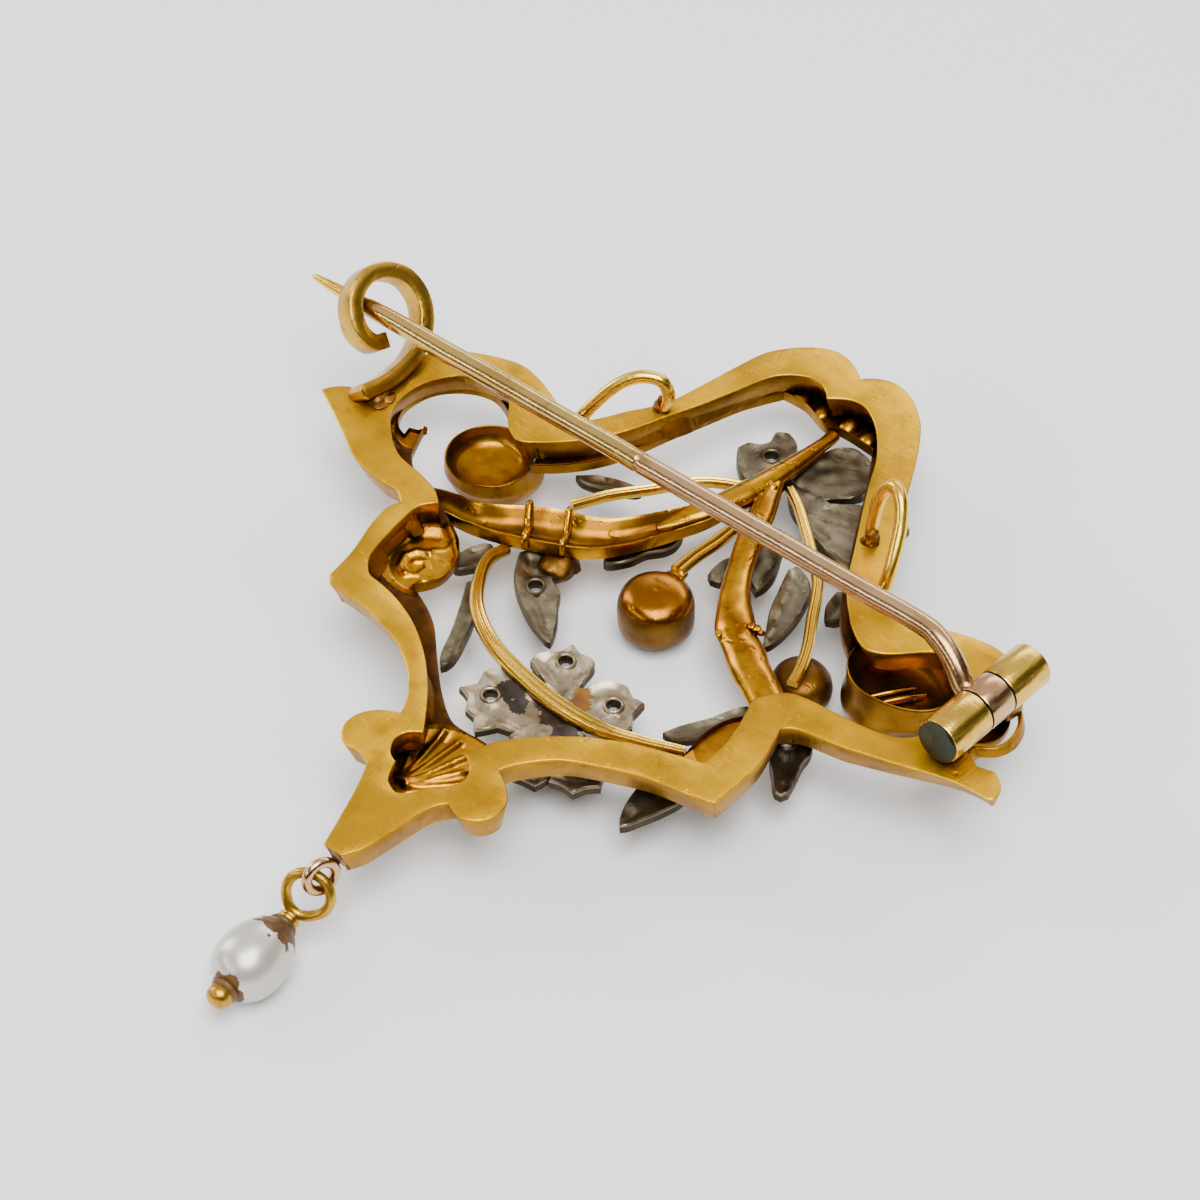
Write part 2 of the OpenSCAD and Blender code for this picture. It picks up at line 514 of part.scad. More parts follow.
module leaf_d() color(silver) placed()
    plate([[5.5, 11.4], [5.55, 10.2], [5.8, 9.2], [6.25, 8.5], [6.65, 9.2], [7.1, 10.3],
        [7.2, 11.2], [6.5, 12.1], [5.8, 12], [5.5, 11.4]]);

module leaf_e() color(silver) placed()
    plate([[4.6, 13.05], [5, 13.9], [5.5, 14.7], [5.9, 15.6], [6.4, 16.2], [6.6, 15.7],
        [6.3, 14.5], [5.7, 13.5], [5.1, 13], [4.6, 13.05]]);

module leaf_f() color(silver) placed() drilled([[8.5, 15.5]])
    plate([[7.6, 16], [8.4, 16.4], [9.4, 15.9], [9.6, 15], [10, 13.6], [9.6, 13.3],
        [9, 13.9], [8.3, 14.7], [7.6, 16]]);

module leaf_g() color(silver) placed()
    plate([[3.2, 22.5], [3.5, 21.6], [3.9, 20.5], [4.4, 19.6], [4.9, 18.8], [5.1, 19.6],
        [5.05, 20.5], [4.9, 21.3], [4.6, 22.2], [4, 22.8], [3.3, 23], [3.2, 22.5]]);

module leaf_h() color(silver) placed()
    plate([[1.5, 23.6], [1.4, 22.6], [0.9, 21.5], [0.9, 20.5], [1.5, 20.4], [2.2, 21.3],
        [2.9, 20.9], [3, 21.9], [2.5, 23.1], [2, 23.9], [1.5, 23.6]]);

module leaf_j() color(silver) placed()
    plate([[-2.8, 18.75], [-2.6, 19.65], [-1.9, 20.45], [-1.6, 21.15], [-1.2, 21.65],
        [-1, 20.95], [-1.2, 20.35], [-1.6, 19.85], [-1.8, 19.25], [-2.3, 18.55],
        [-2.6, 18.45], [-2.8, 18.75]]);

module leaf_k() color(silver) placed()
    plate([[-6.5, 21.5], [-5.9, 22], [-5, 22.4], [-4, 22.55], [-4, 22.2], [-4.7, 21.8],
        [-5.5, 21.45], [-6.1, 21.35], [-6.5, 21.5]]);

module leaf_m() color(silver) placed()
    plate([[5.3, 22.9], [5.4, 22.1], [5.9, 21.4], [6.4, 21.9], [6.3, 22.7], [5.8, 23.1],
        [5.3, 22.9]]);

// A small cut stone in front of each drilled hole: a table and eight facets.
module cut_stone(x, y) {
    color("white") placed() translate([x, y, -silver_depth - silver_t - 0.02])
        rotate([180, 0, 22.5]) union() {
            cylinder(r = 0.5, h = 0.12, $fn = 8);
            translate([0, 0, 0.12]) cylinder(r1 = 0.5, r2 = 0.28, h = 0.2, $fn = 8);
        }
}

module small_stone_1() cut_stone(low_holes[0][0], low_holes[0][1]);
module small_stone_2() cut_stone(low_holes[1][0], low_holes[1][1]);
module small_stone_3() cut_stone(low_holes[2][0], low_holes[2][1]);
module small_stone_4() cut_stone(low_holes[3][0], low_holes[3][1]);
module small_stone_5() cut_stone(high_hole[0], high_hole[1]);
module small_stone_6() cut_stone(leaf_hole[0], leaf_hole[1]);
module small_stone_7() cut_stone(8.5, 15.5);

// The drop: a ring on the lower tip, a wire loop through it, and a pearl on a peg.
ring_centre = [0.05, -0.6, -0.85];
ring_normal = [0.93, -0.28, 0.2];
ring_r = 0.58;
band = [-0.5, -1.72, -2.5];
loop_way = unit(band - ring_centre);
loop_r = 0.86;
loop_centre = ring_centre + loop_way * (loop_r + 0.06);
loop_normal = unit(cross(loop_way, cross(loop_way, [0.44, -0.54, 0.72])));
pearl_top = [-0.52, -2.05, -2.56];
pearl_end = [-0.13, -5.65, -2.57];

// Turns a piece from the Z axis to another direction.
module aim(way) {
    rotate([0, acos(way[2] / norm(way)), atan2(way[1], way[0])]) children();
}

module round_ring(r, wire, sides) {
    rotate_extrude($fn = 14) translate([r, 0]) circle(r = wire / 2, $fn = sides);
}

module drop_ring() color(gold) placed() translate(ring_centre) aim(ring_normal)
    round_ring(ring_r, drop_wire, 6);

module drop_loop() color(gold) placed() translate(loop_centre) aim(loop_normal)
    round_ring(loop_r, drop_wire, 6);

function egg(a) = pearl_w / 2 * sin(a) * (1 - 0.13 * cos(a));

module along_pearl() {
    translate(pearl_top) aim(pearl_end - pearl_top) children();
}

module pearl() color([0.93, 0.9, 0.85]) placed() along_pearl() rotate_extrude($fn = 16)
    polygon(concat([for (a = [12:12:168]) [egg(a), pearl_l / 2 * (1 - cos(a))]],
        [[0.16, pearl_l / 2 * (1 - cos(168))], [0.16, pearl_l / 2 * (1 - cos(12))]]));

module pearl_peg() color(gold) placed() along_pearl() union() {
    translate([0, 0, -0.1]) cylinder(r = 0.12, h = pearl_l + 0.4);
    translate([0, 0, -0.25]) cylinder(r1 = 0.4, r2 = 0.5, h = 0.22);
    translate([0, 0, pearl_l + 0.34]) sphere(r = 0.42);
}

frame();
catch();
chain_loop_left();
chain_loop_right();
hinge_knuckle_near();
hinge_knuckle_far();
hinge_rivet();
pin_stem();
branch();
arch_wire_left();
arch_wire_right();
garland_wire();
cup_stem();
centre_cup();
side_cup();
collet_left();
collet_right();
stone_left();
stone_right();
stone_centre();
stone_side();
flower_low();
flower_high();
leaf_a();
leaf_b();
leaf_c();
leaf_d();
leaf_e();
leaf_f();
leaf_g();
leaf_h();
leaf_j();
leaf_k();
leaf_m();
small_stone_1();
small_stone_2();
small_stone_3();
small_stone_4();
small_stone_5();
small_stone_6();
small_stone_7();
drop_ring();
drop_loop();
pearl();
pearl_peg();
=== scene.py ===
# %% [markdown]
# # A pendant brooch, lying face down
# The brooch lies on its front with its flat back up, so the frame's filed back, the pin, the
# hinge, the catch and the two chain loops show, and the floral spray is seen from behind
# through the open frame. The CAD part sets every size. This file gives each piece its finish,
# and rebuilds the ones whose smooth or chased shape the CAD solids only outline.

# %%
import math

import bpy
import bmesh
import numpy as np
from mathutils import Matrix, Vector, noise
from mathutils.geometry import delaunay_2d_cdt


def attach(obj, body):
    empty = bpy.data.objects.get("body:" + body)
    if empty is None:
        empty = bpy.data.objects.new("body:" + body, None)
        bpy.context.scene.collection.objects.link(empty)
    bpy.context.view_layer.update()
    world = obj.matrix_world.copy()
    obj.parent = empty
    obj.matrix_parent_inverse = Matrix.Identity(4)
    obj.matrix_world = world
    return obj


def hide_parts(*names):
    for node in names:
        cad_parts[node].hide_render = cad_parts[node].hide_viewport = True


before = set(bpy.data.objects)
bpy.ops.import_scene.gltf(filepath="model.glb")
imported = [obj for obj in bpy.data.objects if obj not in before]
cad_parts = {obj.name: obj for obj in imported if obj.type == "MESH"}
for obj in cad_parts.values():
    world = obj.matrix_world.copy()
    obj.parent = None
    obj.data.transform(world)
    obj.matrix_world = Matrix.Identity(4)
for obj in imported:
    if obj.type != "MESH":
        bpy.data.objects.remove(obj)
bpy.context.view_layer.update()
MM = 0.001

# %% [markdown]
# The CAD part is drawn around a point of its own: the flat back is height 0 there, the front
# lies below it, x runs to the hinge and y to the top. All numbers below are millimetres in
# those coordinates, and `to_row` carries them to the part's frame in metres.

# %%
MIDDLE = np.array([-1.25, 12.93, -3.9])
UP = (0, 0, 1)


def to_row(points):
    return (np.asarray(points, float) - MIDDLE) * MM


def from_row(points):
    return np.asarray(points, float) / MM + MIDDLE


def unit(v):
    v = np.asarray(v, float)
    return v / np.maximum(np.linalg.norm(v, axis=-1, keepdims=True), 1e-9)


# %% [markdown]
# ## Finishes
# Old gold keeps its colour on the filed back, where it is rubbed, and goes brown and orange
# in the hollows. Three node groups do this for all metals: one mixes two colours in soft
# patches with spots of a third, one makes file marks and pits, and one darkens what lies deep
# in a corner, as patina and as painted shade. Each material sets its own values.

# %%
def group(name, inputs, outputs):
    """A node group. An input given as a number is a value, any other is a colour."""
    tree = bpy.data.node_groups.new(name, "ShaderNodeTree")
    for label, value in inputs.items():
        kind = "NodeSocketColor" if value is None else "NodeSocketFloat"
        socket = tree.interface.new_socket(label, in_out="INPUT", socket_type=kind)
        if value is not None:
            socket.default_value = value
    for label, kind in outputs.items():
        tree.interface.new_socket(label, in_out="OUTPUT", socket_type="NodeSocket" + kind)
    return tree, tree.nodes.new("NodeGroupInput"), tree.nodes.new("NodeGroupOutput")


def feed(tree, socket, value):
    """Links another node's output to the socket, or sets a plain value on it."""
    if isinstance(value, bpy.types.NodeSocket):
        tree.links.new(value, socket)
    else:
        socket.default_value = value


def math_node(tree, operation, a, b, clamp=False):
    n = tree.nodes.new("ShaderNodeMath")
    n.operation = operation
    n.use_clamp = clamp
    feed(tree, n.inputs[0], a)
    feed(tree, n.inputs[1], b)
    return n.outputs[0]


def noise_node(tree, scale, detail=3.0, rough=0.55, stretch=None):
    where = tree.nodes.new("ShaderNodeTexCoord").outputs["Object"]
    if stretch is not None:
        m = tree.nodes.new("ShaderNodeMapping")
        m.inputs["Scale"].default_value = stretch
        m.inputs["Rotation"].default_value = (0, 0, 0.6)
        tree.links.new(where, m.inputs["Vector"])
        where = m.outputs["Vector"]
    n = tree.nodes.new("ShaderNodeTexNoise")
    n.inputs["Detail"].default_value = detail
    n.inputs["Roughness"].default_value = rough
    tree.links.new(where, n.inputs["Vector"])
    feed(tree, n.inputs["Scale"], scale)
    return n.outputs["Fac"]


def colour_mix(tree, factor, a, b):
    m = tree.nodes.new("ShaderNodeMix")
    m.data_type = "RGBA"
    for label, value in (("Factor", factor), ("A", a), ("B", b)):
        feed(tree, m.inputs[label], value)
    return m.outputs["Result"]


def build_patches():
    """Light and middle colour in soft patches, and small dark spots over both."""
    tree, start, end = group("patches", {"Light": None, "Middle": None, "Dark": None,
                                         "Size": 700.0, "Share": 0.5}, {"Color": "Color"})
    broad = noise_node(tree, start.outputs["Size"])
    fine = noise_node(tree, math_node(tree, "MULTIPLY", start.outputs["Size"], 3.7), 4.0)
    rest = math_node(tree, "SUBTRACT", 1.0, start.outputs["Share"])
    edge = math_node(tree, "SUBTRACT", broad, rest)
    tint = math_node(tree, "ADD", math_node(tree, "MULTIPLY", edge, 5.0), 0.5, clamp=True)
    spots = math_node(tree, "MULTIPLY", math_node(tree, "SUBTRACT", fine, 0.56), 6.0, clamp=True)
    amount = math_node(tree, "MULTIPLY", spots, start.outputs["Share"])
    first = colour_mix(tree, tint, start.outputs["Light"], start.outputs["Middle"])
    tree.links.new(colour_mix(tree, amount, first, start.outputs["Dark"]), end.inputs["Color"])
    return tree


def build_marks():
    """File marks in two directions and pits, as a bumped normal and as a height."""
    tree, start, end = group("file_marks", {"Fine": 0.2, "Pits": 0.2},
                             {"Normal": "Vector", "Height": "Float"})
    lines = noise_node(tree, 900.0, 4.0, 0.6, (1.0, 9.0, 1.0))
    across = noise_node(tree, 1500.0, 2.0, 0.5, (7.0, 1.0, 1.0))
    pits = noise_node(tree, 2200.0, 2.0, 0.5)
    both = math_node(tree, "MULTIPLY", math_node(tree, "ADD", lines, across), start.outputs["Fine"])
    deep = math_node(tree, "MULTIPLY", math_node(tree, "SUBTRACT", pits, 0.62, clamp=True),
                     start.outputs["Pits"])
    height = math_node(tree, "SUBTRACT", both, math_node(tree, "MULTIPLY", deep, 4.0))
    bump = tree.nodes.new("ShaderNodeBump")
    bump.inputs["Distance"].default_value = 0.1 * MM
    bump.inputs["Strength"].default_value = 0.6
    tree.links.new(height, bump.inputs["Height"])
    tree.links.new(bump.outputs["Normal"], end.inputs["Normal"])
    tree.links.new(height, end.inputs["Height"])
    return tree


def build_patina_and_shade():
    """Patina and painted shade: a darker colour where another surface stands close by."""
    tree, start, end = group("corners", {"Color": None, "Deep": None, "Amount": 0.5},
                             {"Color": "Color"})
    # This ambient occlusion paints shade into the colour, together with the patina of the hollows.
    near = tree.nodes.new("ShaderNodeAmbientOcclusion")
    near.samples = 8
    near.inputs["Distance"].default_value = 0.9 * MM
    shut = math_node(tree, "SUBTRACT", 1.0, near.outputs["AO"], clamp=True)
    amount = math_node(tree, "MULTIPLY", math_node(tree, "MULTIPLY", shut, 1.6, clamp=True),
                       start.outputs["Amount"])
    tree.links.new(colour_mix(tree, amount, start.outputs["Color"], start.outputs["Deep"]),
                   end.inputs["Color"])
    return tree


PATCHES, MARKS, PATINA_AND_SHADE = build_patches(), build_marks(), build_patina_and_shade()


def set_inputs(node, **values):
    for label, value in values.items():
        node.inputs[label.replace("_", " ")].default_value = value


def metal(name, light, middle, dark, size, share, rough, fine, pits, corner,
          deep=(0.06, 0.025, 0.006), metallic=1.0):
    """size is the scale of the patches' noise, and share how much of them is middle and dark."""
    m = bpy.data.materials.new(name)
    m.use_nodes = True
    tree = m.node_tree
    shader = tree.nodes["Principled BSDF"]
    set_inputs(shader, Metallic=metallic)
    patches, marks, corners = (tree.nodes.new("ShaderNodeGroup") for _ in range(3))
    patches.node_tree, marks.node_tree, corners.node_tree = PATCHES, MARKS, PATINA_AND_SHADE
    set_inputs(patches, Light=(*light, 1), Middle=(*middle, 1), Dark=(*dark, 1), Size=size,
               Share=share)
    set_inputs(marks, Fine=fine, Pits=pits)
    # corner and deep set how much and how dark the patina and painted shade in corners are.
    set_inputs(corners, Deep=(*deep, 1), Amount=corner)
    tree.links.new(patches.outputs["Color"], corners.inputs["Color"])
    tree.links.new(corners.outputs["Color"], shader.inputs["Base Color"])
    tree.links.new(marks.outputs["Normal"], shader.inputs["Normal"])
    grain = math_node(tree, "MULTIPLY", marks.outputs["Height"], 0.25)
    tree.links.new(math_node(tree, "ADD", grain, rough), shader.inputs["Roughness"])
    return m


FILED = metal("filed_gold", (0.86, 0.46, 0.002), (0.56, 0.28, 0.002), (0.34, 0.15, 0.002),
              230, 0.5, 0.33, 0.25, 0.4, 0.3)
WALL = metal("wall_gold", (0.4, 0.2, 0.008), (0.27, 0.12, 0.006), (0.1, 0.035, 0.003),
             500, 0.5, 0.33, 0.3, 0.6, 0.9)
# Near-black gold for the frame's inner walls and its bare low floor: painted shade, not a stain.
INNER_SHADE = metal("inner_shade_gold", (0.11, 0.04, 0.005), (0.055, 0.018, 0.003), (0.02, 0.007, 0.002),
              700, 0.5, 0.3, 0.2, 0.6, 0.95, (0.03, 0.009, 0.003))
FLOOR = metal("hollow_gold", (0.68, 0.31, 0.006), (0.42, 0.165, 0.004), (0.1, 0.03, 0.003),
              600, 0.5, 0.26, 0.1, 0.15, 0.95)
BRIGHT = metal("bright_gold", (0.95, 0.58, 0.06), (0.85, 0.46, 0.03), (0.5, 0.22, 0.01),
               500, 0.4, 0.24, 0.05, 0.15, 0.6)
CATCH = metal("catch_gold", (0.61, 0.35, 0.04), (0.41, 0.21, 0.025), (0.16, 0.065, 0.012),
              500, 0.5, 0.28, 0.2, 0.3, 0.7)
KNUCKLE = metal("hinge_gold", (0.78, 0.48, 0.07), (0.66, 0.37, 0.045), (0.36, 0.18, 0.02),
                500, 0.4, 0.2, 0.15, 0.15, 0.6)
BRANCH = metal("branch_gold", (0.6, 0.28, 0.006), (0.34, 0.13, 0.004), (0.11, 0.035, 0.002),
               600, 0.5, 0.24, 0.05, 0.6, 0.9)
SHANK = metal("pale_gold", (0.66, 0.43, 0.13), (0.54, 0.33, 0.08), (0.26, 0.13, 0.03),
              400, 0.4, 0.2, 0.1, 0.1, 0.4)
ROSE = metal("rose_gold", (0.66, 0.4, 0.2), (0.54, 0.3, 0.13), (0.26, 0.12, 0.045),
             400, 0.4, 0.2, 0.1, 0.1, 0.4)
SILVER = metal("leaf_silver", (0.22, 0.18, 0.115), (0.135, 0.105, 0.063), (0.04, 0.028, 0.015),
               700, 0.45, 0.4, 0.1, 0.5, 0.7, (0.02, 0.014, 0.007))
PETAL = metal("petal_silver", (0.68, 0.59, 0.42), (0.36, 0.28, 0.175), (0.028, 0.02, 0.013),
              520, 0.58, 0.38, 0.1, 0.6, 0.8, (0.02, 0.014, 0.007))
SOOT = metal("black_stain", (0.045, 0.036, 0.027), (0.026, 0.02, 0.015), (0.012, 0.009, 0.006),
             900, 0.5, 0.5, 0.1, 0.6, 0.5, metallic=0.6)
STEEL = metal("dark_steel", (0.07, 0.085, 0.07), (0.04, 0.05, 0.04), (0.02, 0.025, 0.02),
              600, 0.5, 0.4, 0.2, 0.4, 0.4, (0.01, 0.012, 0.01))
SOLDER = metal("old_solder", (0.3, 0.14, 0.025), (0.17, 0.07, 0.012), (0.06, 0.025, 0.006),
               1500, 0.5, 0.45, 0.1, 0.8, 0.5)
COPPER = metal("copper_gold", (0.42, 0.18, 0.012), (0.28, 0.1, 0.008), (0.12, 0.035, 0.004),
               350, 0.5, 0.24, 0.1, 0.3, 0.4)
PAN = metal("pan_gold", (0.34, 0.165, 0.012), (0.22, 0.095, 0.008), (0.08, 0.03, 0.004),
            600, 0.5, 0.3, 0.1, 0.3, 0.9)
HOLLOW = metal("branch_hollow", (0.4, 0.17, 0.006), (0.22, 0.075, 0.004), (0.08, 0.022, 0.002),
               600, 0.5, 0.28, 0.05, 0.6, 0.9)
BROWN = metal("brown_gold", (0.19, 0.09, 0.012), (0.115, 0.048, 0.007), (0.04, 0.016, 0.003),
              500, 0.5, 0.4, 0.1, 0.6, 0.6)
PATCH = metal("copper_stain", (0.24, 0.1, 0.011), (0.16, 0.06, 0.007), (0.08, 0.03, 0.004),
              800, 0.5, 0.5, 0.1, 0.8, 0.5, metallic=0.5)
DULL = metal("dull_silver", (0.07, 0.055, 0.035), (0.045, 0.035, 0.022), (0.02, 0.015, 0.01),
             600, 0.5, 0.5, 0.1, 0.5, 0.5, (0.02, 0.015, 0.01))
GREEN = metal("green_spot", (0.02, 0.1, 0.03), (0.015, 0.07, 0.02), (0.01, 0.04, 0.01),
              600, 0.5, 0.5, 0.1, 0.5, 0.3, metallic=0.2)
GLUE = metal("old_glue", (0.14, 0.065, 0.011), (0.075, 0.032, 0.006), (0.03, 0.012, 0.003),
             1600, 0.5, 0.45, 0.1, 0.8, 0.5, metallic=0.2)


def plain(name, colour, rough, **values):
    m = bpy.data.materials.new(name)
    m.use_nodes = True
    set_inputs(m.node_tree.nodes["Principled BSDF"], Base_Color=(*colour, 1), Roughness=rough,
               **values)
    return m


PEARL = plain("pearl", (0.60, 0.565, 0.49), 0.34, Metallic=0.55, Coat_Weight=0.35,
              Coat_Roughness=0.3)
STONE = plain("stone", (0.85, 0.87, 0.9), 0.03, Transmission_Weight=0.85, IOR=1.9)
print("materials:", len(bpy.data.materials))

# %% [markdown]
# ## Tools for the rebuilt pieces
# The frame and the leaves are made as plates. `outlines` gives a CAD node's outlines at a
# height, `smooth_loop` turns their straight stretches into even curves but keeps the real
# corners, and `Solid.slab` makes a plate with those outlines, softly broken edges and a
# chased upper side.

# %%
def outlines(node, height):
    """The loops in which a level plane cuts a CAD node; outer ones run anticlockwise."""
    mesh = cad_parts[node].data
    mesh.calc_loop_triangles()
    co = from_row([v.co for v in mesh.vertices])
    starts, ends = [], []
    for t in mesh.loop_triangles:
        p = co[list(t.vertices)]
        above = p[:, 2] > height
        if above.all() or not above.any():
            continue
        cut = {}
        for k in range(3):
            a, b = p[k], p[(k + 1) % 3]
            if above[k] != above[(k + 1) % 3]:
                cut[bool(above[k])] = (a + (b - a) * (height - a[2]) / (b[2] - a[2]))[:2]
        starts.append(cut[True])
        ends.append(cut[False])
    starts, ends = np.array(starts), np.array(ends)
    free, loops = set(range(len(starts))), []
    while free:
        k = min(free)
        loop = []
        while k in free:
            free.discard(k)
            loop.append(starts[k])
            k = int(np.argmin(((starts - ends[k]) ** 2).sum(1)))
        loops.append(np.array(loop))
    loops = [p for p in loops if len(p) > 2 and abs(area(p)) > 0.01]
    if area(max(loops, key=lambda p: abs(area(p)))) < 0:
        loops = [p[::-1] for p in loops]
    return loops


def area(p):
    q = np.roll(p, -1, axis=0)
    return 0.5 * float((p[:, 0] * q[:, 1] - p[:, 1] * q[:, 0]).sum())


def without_straights(p):
    """The loop without points on a straight stretch and without double points."""
    while True:
        before, after = np.roll(p, 1, axis=0), np.roll(p, -1, axis=0)
        way = unit(after - before)
        off = np.abs(way[:, 0] * (p - before)[:, 1] - way[:, 1] * (p - before)[:, 0])
        near = np.linalg.norm(p - before, axis=1) < 0.03
        drop = (off < 0.002) | near
        drop[1:] &= ~drop[:-1]
        if not drop.any():
            return p
        p = p[~drop]


def spline(points, spacing, closed=False):
    p = np.asarray(points, float)
    n = len(p)
    made = []
    for i in range(n if closed else n - 1):
        if closed:
            a, b, c, d = p[i - 1], p[i], p[(i + 1) % n], p[(i + 2) % n]
        else:
            a, b, c, d = p[max(i - 1, 0)], p[i], p[i + 1], p[min(i + 2, n - 1)]
        parts = max(1, int(math.ceil(np.linalg.norm((c - b)[:3]) / spacing)))
        for t in np.arange(parts) / parts:
            made.append(b + ((c - a) * t + (2 * a - 5 * b + 4 * c - d) * t * t
                             + (3 * b - a - 3 * c + d) * t ** 3) / 2)
    if not closed:
        made.append(p[-1])
    return np.array(made)


def smooth_loop(loop, spacing=0.14, corner=36):
    p = without_straights(loop)
    into, out = unit(p - np.roll(p, 1, axis=0)), unit(np.roll(p, -1, axis=0) - p)
    turn = np.degrees(np.arccos(np.clip((into * out).sum(1), -1, 1)))
    corners = np.flatnonzero(turn > corner)
    if len(corners) == 0:
        return spline(p, spacing, closed=True)
    p = np.roll(p, -corners[0], axis=0)
    stops = [c - corners[0] for c in corners] + [len(p)]
    p = np.vstack([p, p[:1]])
    return np.vstack([spline(p[a:b + 1], spacing)[:-1] for a, b in zip(stops, stops[1:])])


def inward(p):
    """The way into the metal at each point, longer where the loop turns."""
    into, out = unit(p - np.roll(p, 1, axis=0)), unit(np.roll(p, -1, axis=0) - p)
    way = unit(into + out)
    stretch = 1 / np.maximum((into * way).sum(1), 0.6)
    return np.stack([-way[:, 1], way[:, 0]], 1) * stretch[:, None]


def half_widths(loops):
    """Nearly half the width of the metal behind each point of each loop."""
    every, found = np.vstack(loops), []
    for p in loops:
        apart = every[None] - p[:, None]
        far = np.linalg.norm(apart, axis=2)
        ahead = ((apart * inward(p)[:, None]).sum(2) > 0.85 * far) & (far > 0.35)
        found.append(0.4 * np.where(ahead, far, 9.0).min(1))
    return found


def inside(points, loops):
    found = np.zeros(len(points), bool)
    x, y = points[:, 0], points[:, 1]
    for p in loops:
        q = np.roll(p, -1, axis=0)
        for (x1, y1), (x2, y2) in zip(p, q):
            if y1 != y2:
                crossing = (y1 > y) != (y2 > y)
                found ^= crossing & (x < x1 + (y - y1) * (x2 - x1) / (y2 - y1))
    return found


def distance(points, line):
    """How far each point is from a line."""
    best = np.full(len(points), 1e9)
    for a, b in zip(line[:-1], line[1:]):
        d = b - a
        t = np.clip(((points - a) @ d) / max(float(d @ d), 1e-12), 0, 1)
        best = np.minimum(best, ((points - a - t[:, None] * d) ** 2).sum(1))
    return np.sqrt(best)


def filled(loops, grid=None, fine=None):
    """Triangles between the loops, on a grid that is four times finer where fine says so."""
    points = [tuple(q) for p in loops for q in p]
    edges, start = [], 0
    for p in loops:
        n = len(p)
        edges += [(start + k, start + (k + 1) % n) for k in range(n)]
        start += n
    if grid:
        every = np.vstack(loops)
        for step in ([grid, grid / 4] if fine else [grid]):
            xs = np.arange(every[:, 0].min(), every[:, 0].max(), step)
            ys = np.arange(every[:, 1].min(), every[:, 1].max(), step * 0.87)
            field = np.array([(x + step / 2 * (j % 2), y) for j, y in enumerate(ys) for x in xs])
            if fine:
                field = field[fine(field) == (step < grid)]
            field = field[inside(field, loops)]
            far = np.min([distance(field, np.vstack([p, p[:1]])) for p in loops], axis=0)
            points += [tuple(q) for q in field[far > step * 0.55]]
    made = delaunay_2d_cdt([Vector(p) for p in points], edges, [], 1, 1e-5)
    flat = np.array([tuple(v) for v in made[0]])
    faces = np.array([list(f) for f in made[2]])
    return flat, faces[inside(flat[faces].mean(1), loops)].tolist()


class Solid:
    """Points, faces and the material of each face, gathered for one object."""

    def __init__(self):
        self.points, self.faces, self.slots = [], [], []

    def add(self, points, faces, slot=0):
        start = len(self.points)
        self.points += [tuple(p) for p in points]
        self.faces += [[start + k for k in f] for f in faces]
        self.slots += slot if isinstance(slot, list) else [slot] * len(faces)

    def middles(self):
        return np.array([np.mean([self.points[k] for k in f], axis=0) for f in self.faces])

    def slab(self, loops, top, bottom, edge=0.06, grid=None, relief=None, fine=None,
             slots=(0, 1, 1), steps=(0, 0), lean=(0, 0)):
        """A plate: loops at their full size, with the upper edge broken by `edge`. slots are
        for the upper side, the walls and the lower side; a fourth is for the inner walls. The
        walls start `steps` further in; outer walls end further in still, moved by `lean`."""
        rings = [[], [], [], [], []]
        for p, room in zip(loops, half_widths(loops)):
            n = inward(p)
            first, last = (n * np.minimum(step, room)[:, None] for step in steps)
            last = last + np.array(lean) if area(p) > 0 else first
            for ring, share, down in zip(rings, (1, 0.3, 0, 0, 0), (0, 0, 0, 0.5, 1)):
                ring.append(p + n * edge * share + first * (1 - down) + last * down)
        heights = [top, top - edge * 0.3, top - edge, (top - edge + bottom) / 2, bottom]
        lift = relief or (lambda q: np.zeros(len(q)))
        for k in range(4):
            for p, q in zip(rings[k], rings[k + 1]):
                m = len(p)
                up = heights[k] + (lift(p) if k == 0 else 0 * p[:, 0])
                points = np.vstack([np.column_stack([p, up]),
                                    np.column_stack([q, np.full(m, heights[k + 1])])])
                self.add(points, [[i, m + i, m + (i + 1) % m, (i + 1) % m] for i in range(m)],
                         slots[0] if k < 2 else slots[1] if area(p) > 0 else slots[-1])
        flat, faces = filled(rings[0], grid, fine)
        self.add(np.column_stack([flat, top + lift(flat)]), faces, slots[0])
        flat, faces = filled(rings[4])
        self.add(np.column_stack([flat, np.full(len(flat), bottom)]),
                 [f[::-1] for f in faces], slots[2])

    def make(self, name, materials, replaces=None, angle=40, body="frame"):
        """The finished piece; edges sharper than angle stay crisp."""
        mesh = bpy.data.meshes.new(name)
        mesh.from_pydata([tuple(p) for p in to_row(self.points)], [], self.faces)
        mesh.polygons.foreach_set("material_index", self.slots)
        for m in materials:
            mesh.materials.append(m)
        b = bmesh.new()
        b.from_mesh(mesh)
        bmesh.ops.remove_doubles(b, verts=b.verts, dist=2e-7)
        bmesh.ops.dissolve_degenerate(b, edges=b.edges, dist=2e-7)
        bmesh.ops.recalc_face_normals(b, faces=b.faces)
        for f in b.faces:
            f.smooth = True
        for e in b.edges:
            e.smooth = len(e.link_faces) == 2 and e.calc_face_angle(0) < math.radians(angle)
        b.to_mesh(mesh)
        b.free()
        piece = bpy.data.objects.new(name, mesh)
        bpy.context.scene.collection.objects.link(piece)
        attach(piece, body)
        if replaces:
            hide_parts(replaces)
        print(f"{name}: {len(mesh.polygons)} faces")


# %% [markdown]
# Wires, strips and the branch are bars whose section runs along a curve. `sweep` takes the
# points of that curve with the section's width and height at each; the section is round unless
# another is given. `turned` makes what was turned or raised round an axis.

# %%
AROUND = np.linspace(0, 2 * np.pi, 17)[:-1]
ROUND = np.stack([np.cos(AROUND), np.sin(AROUND)], 1)


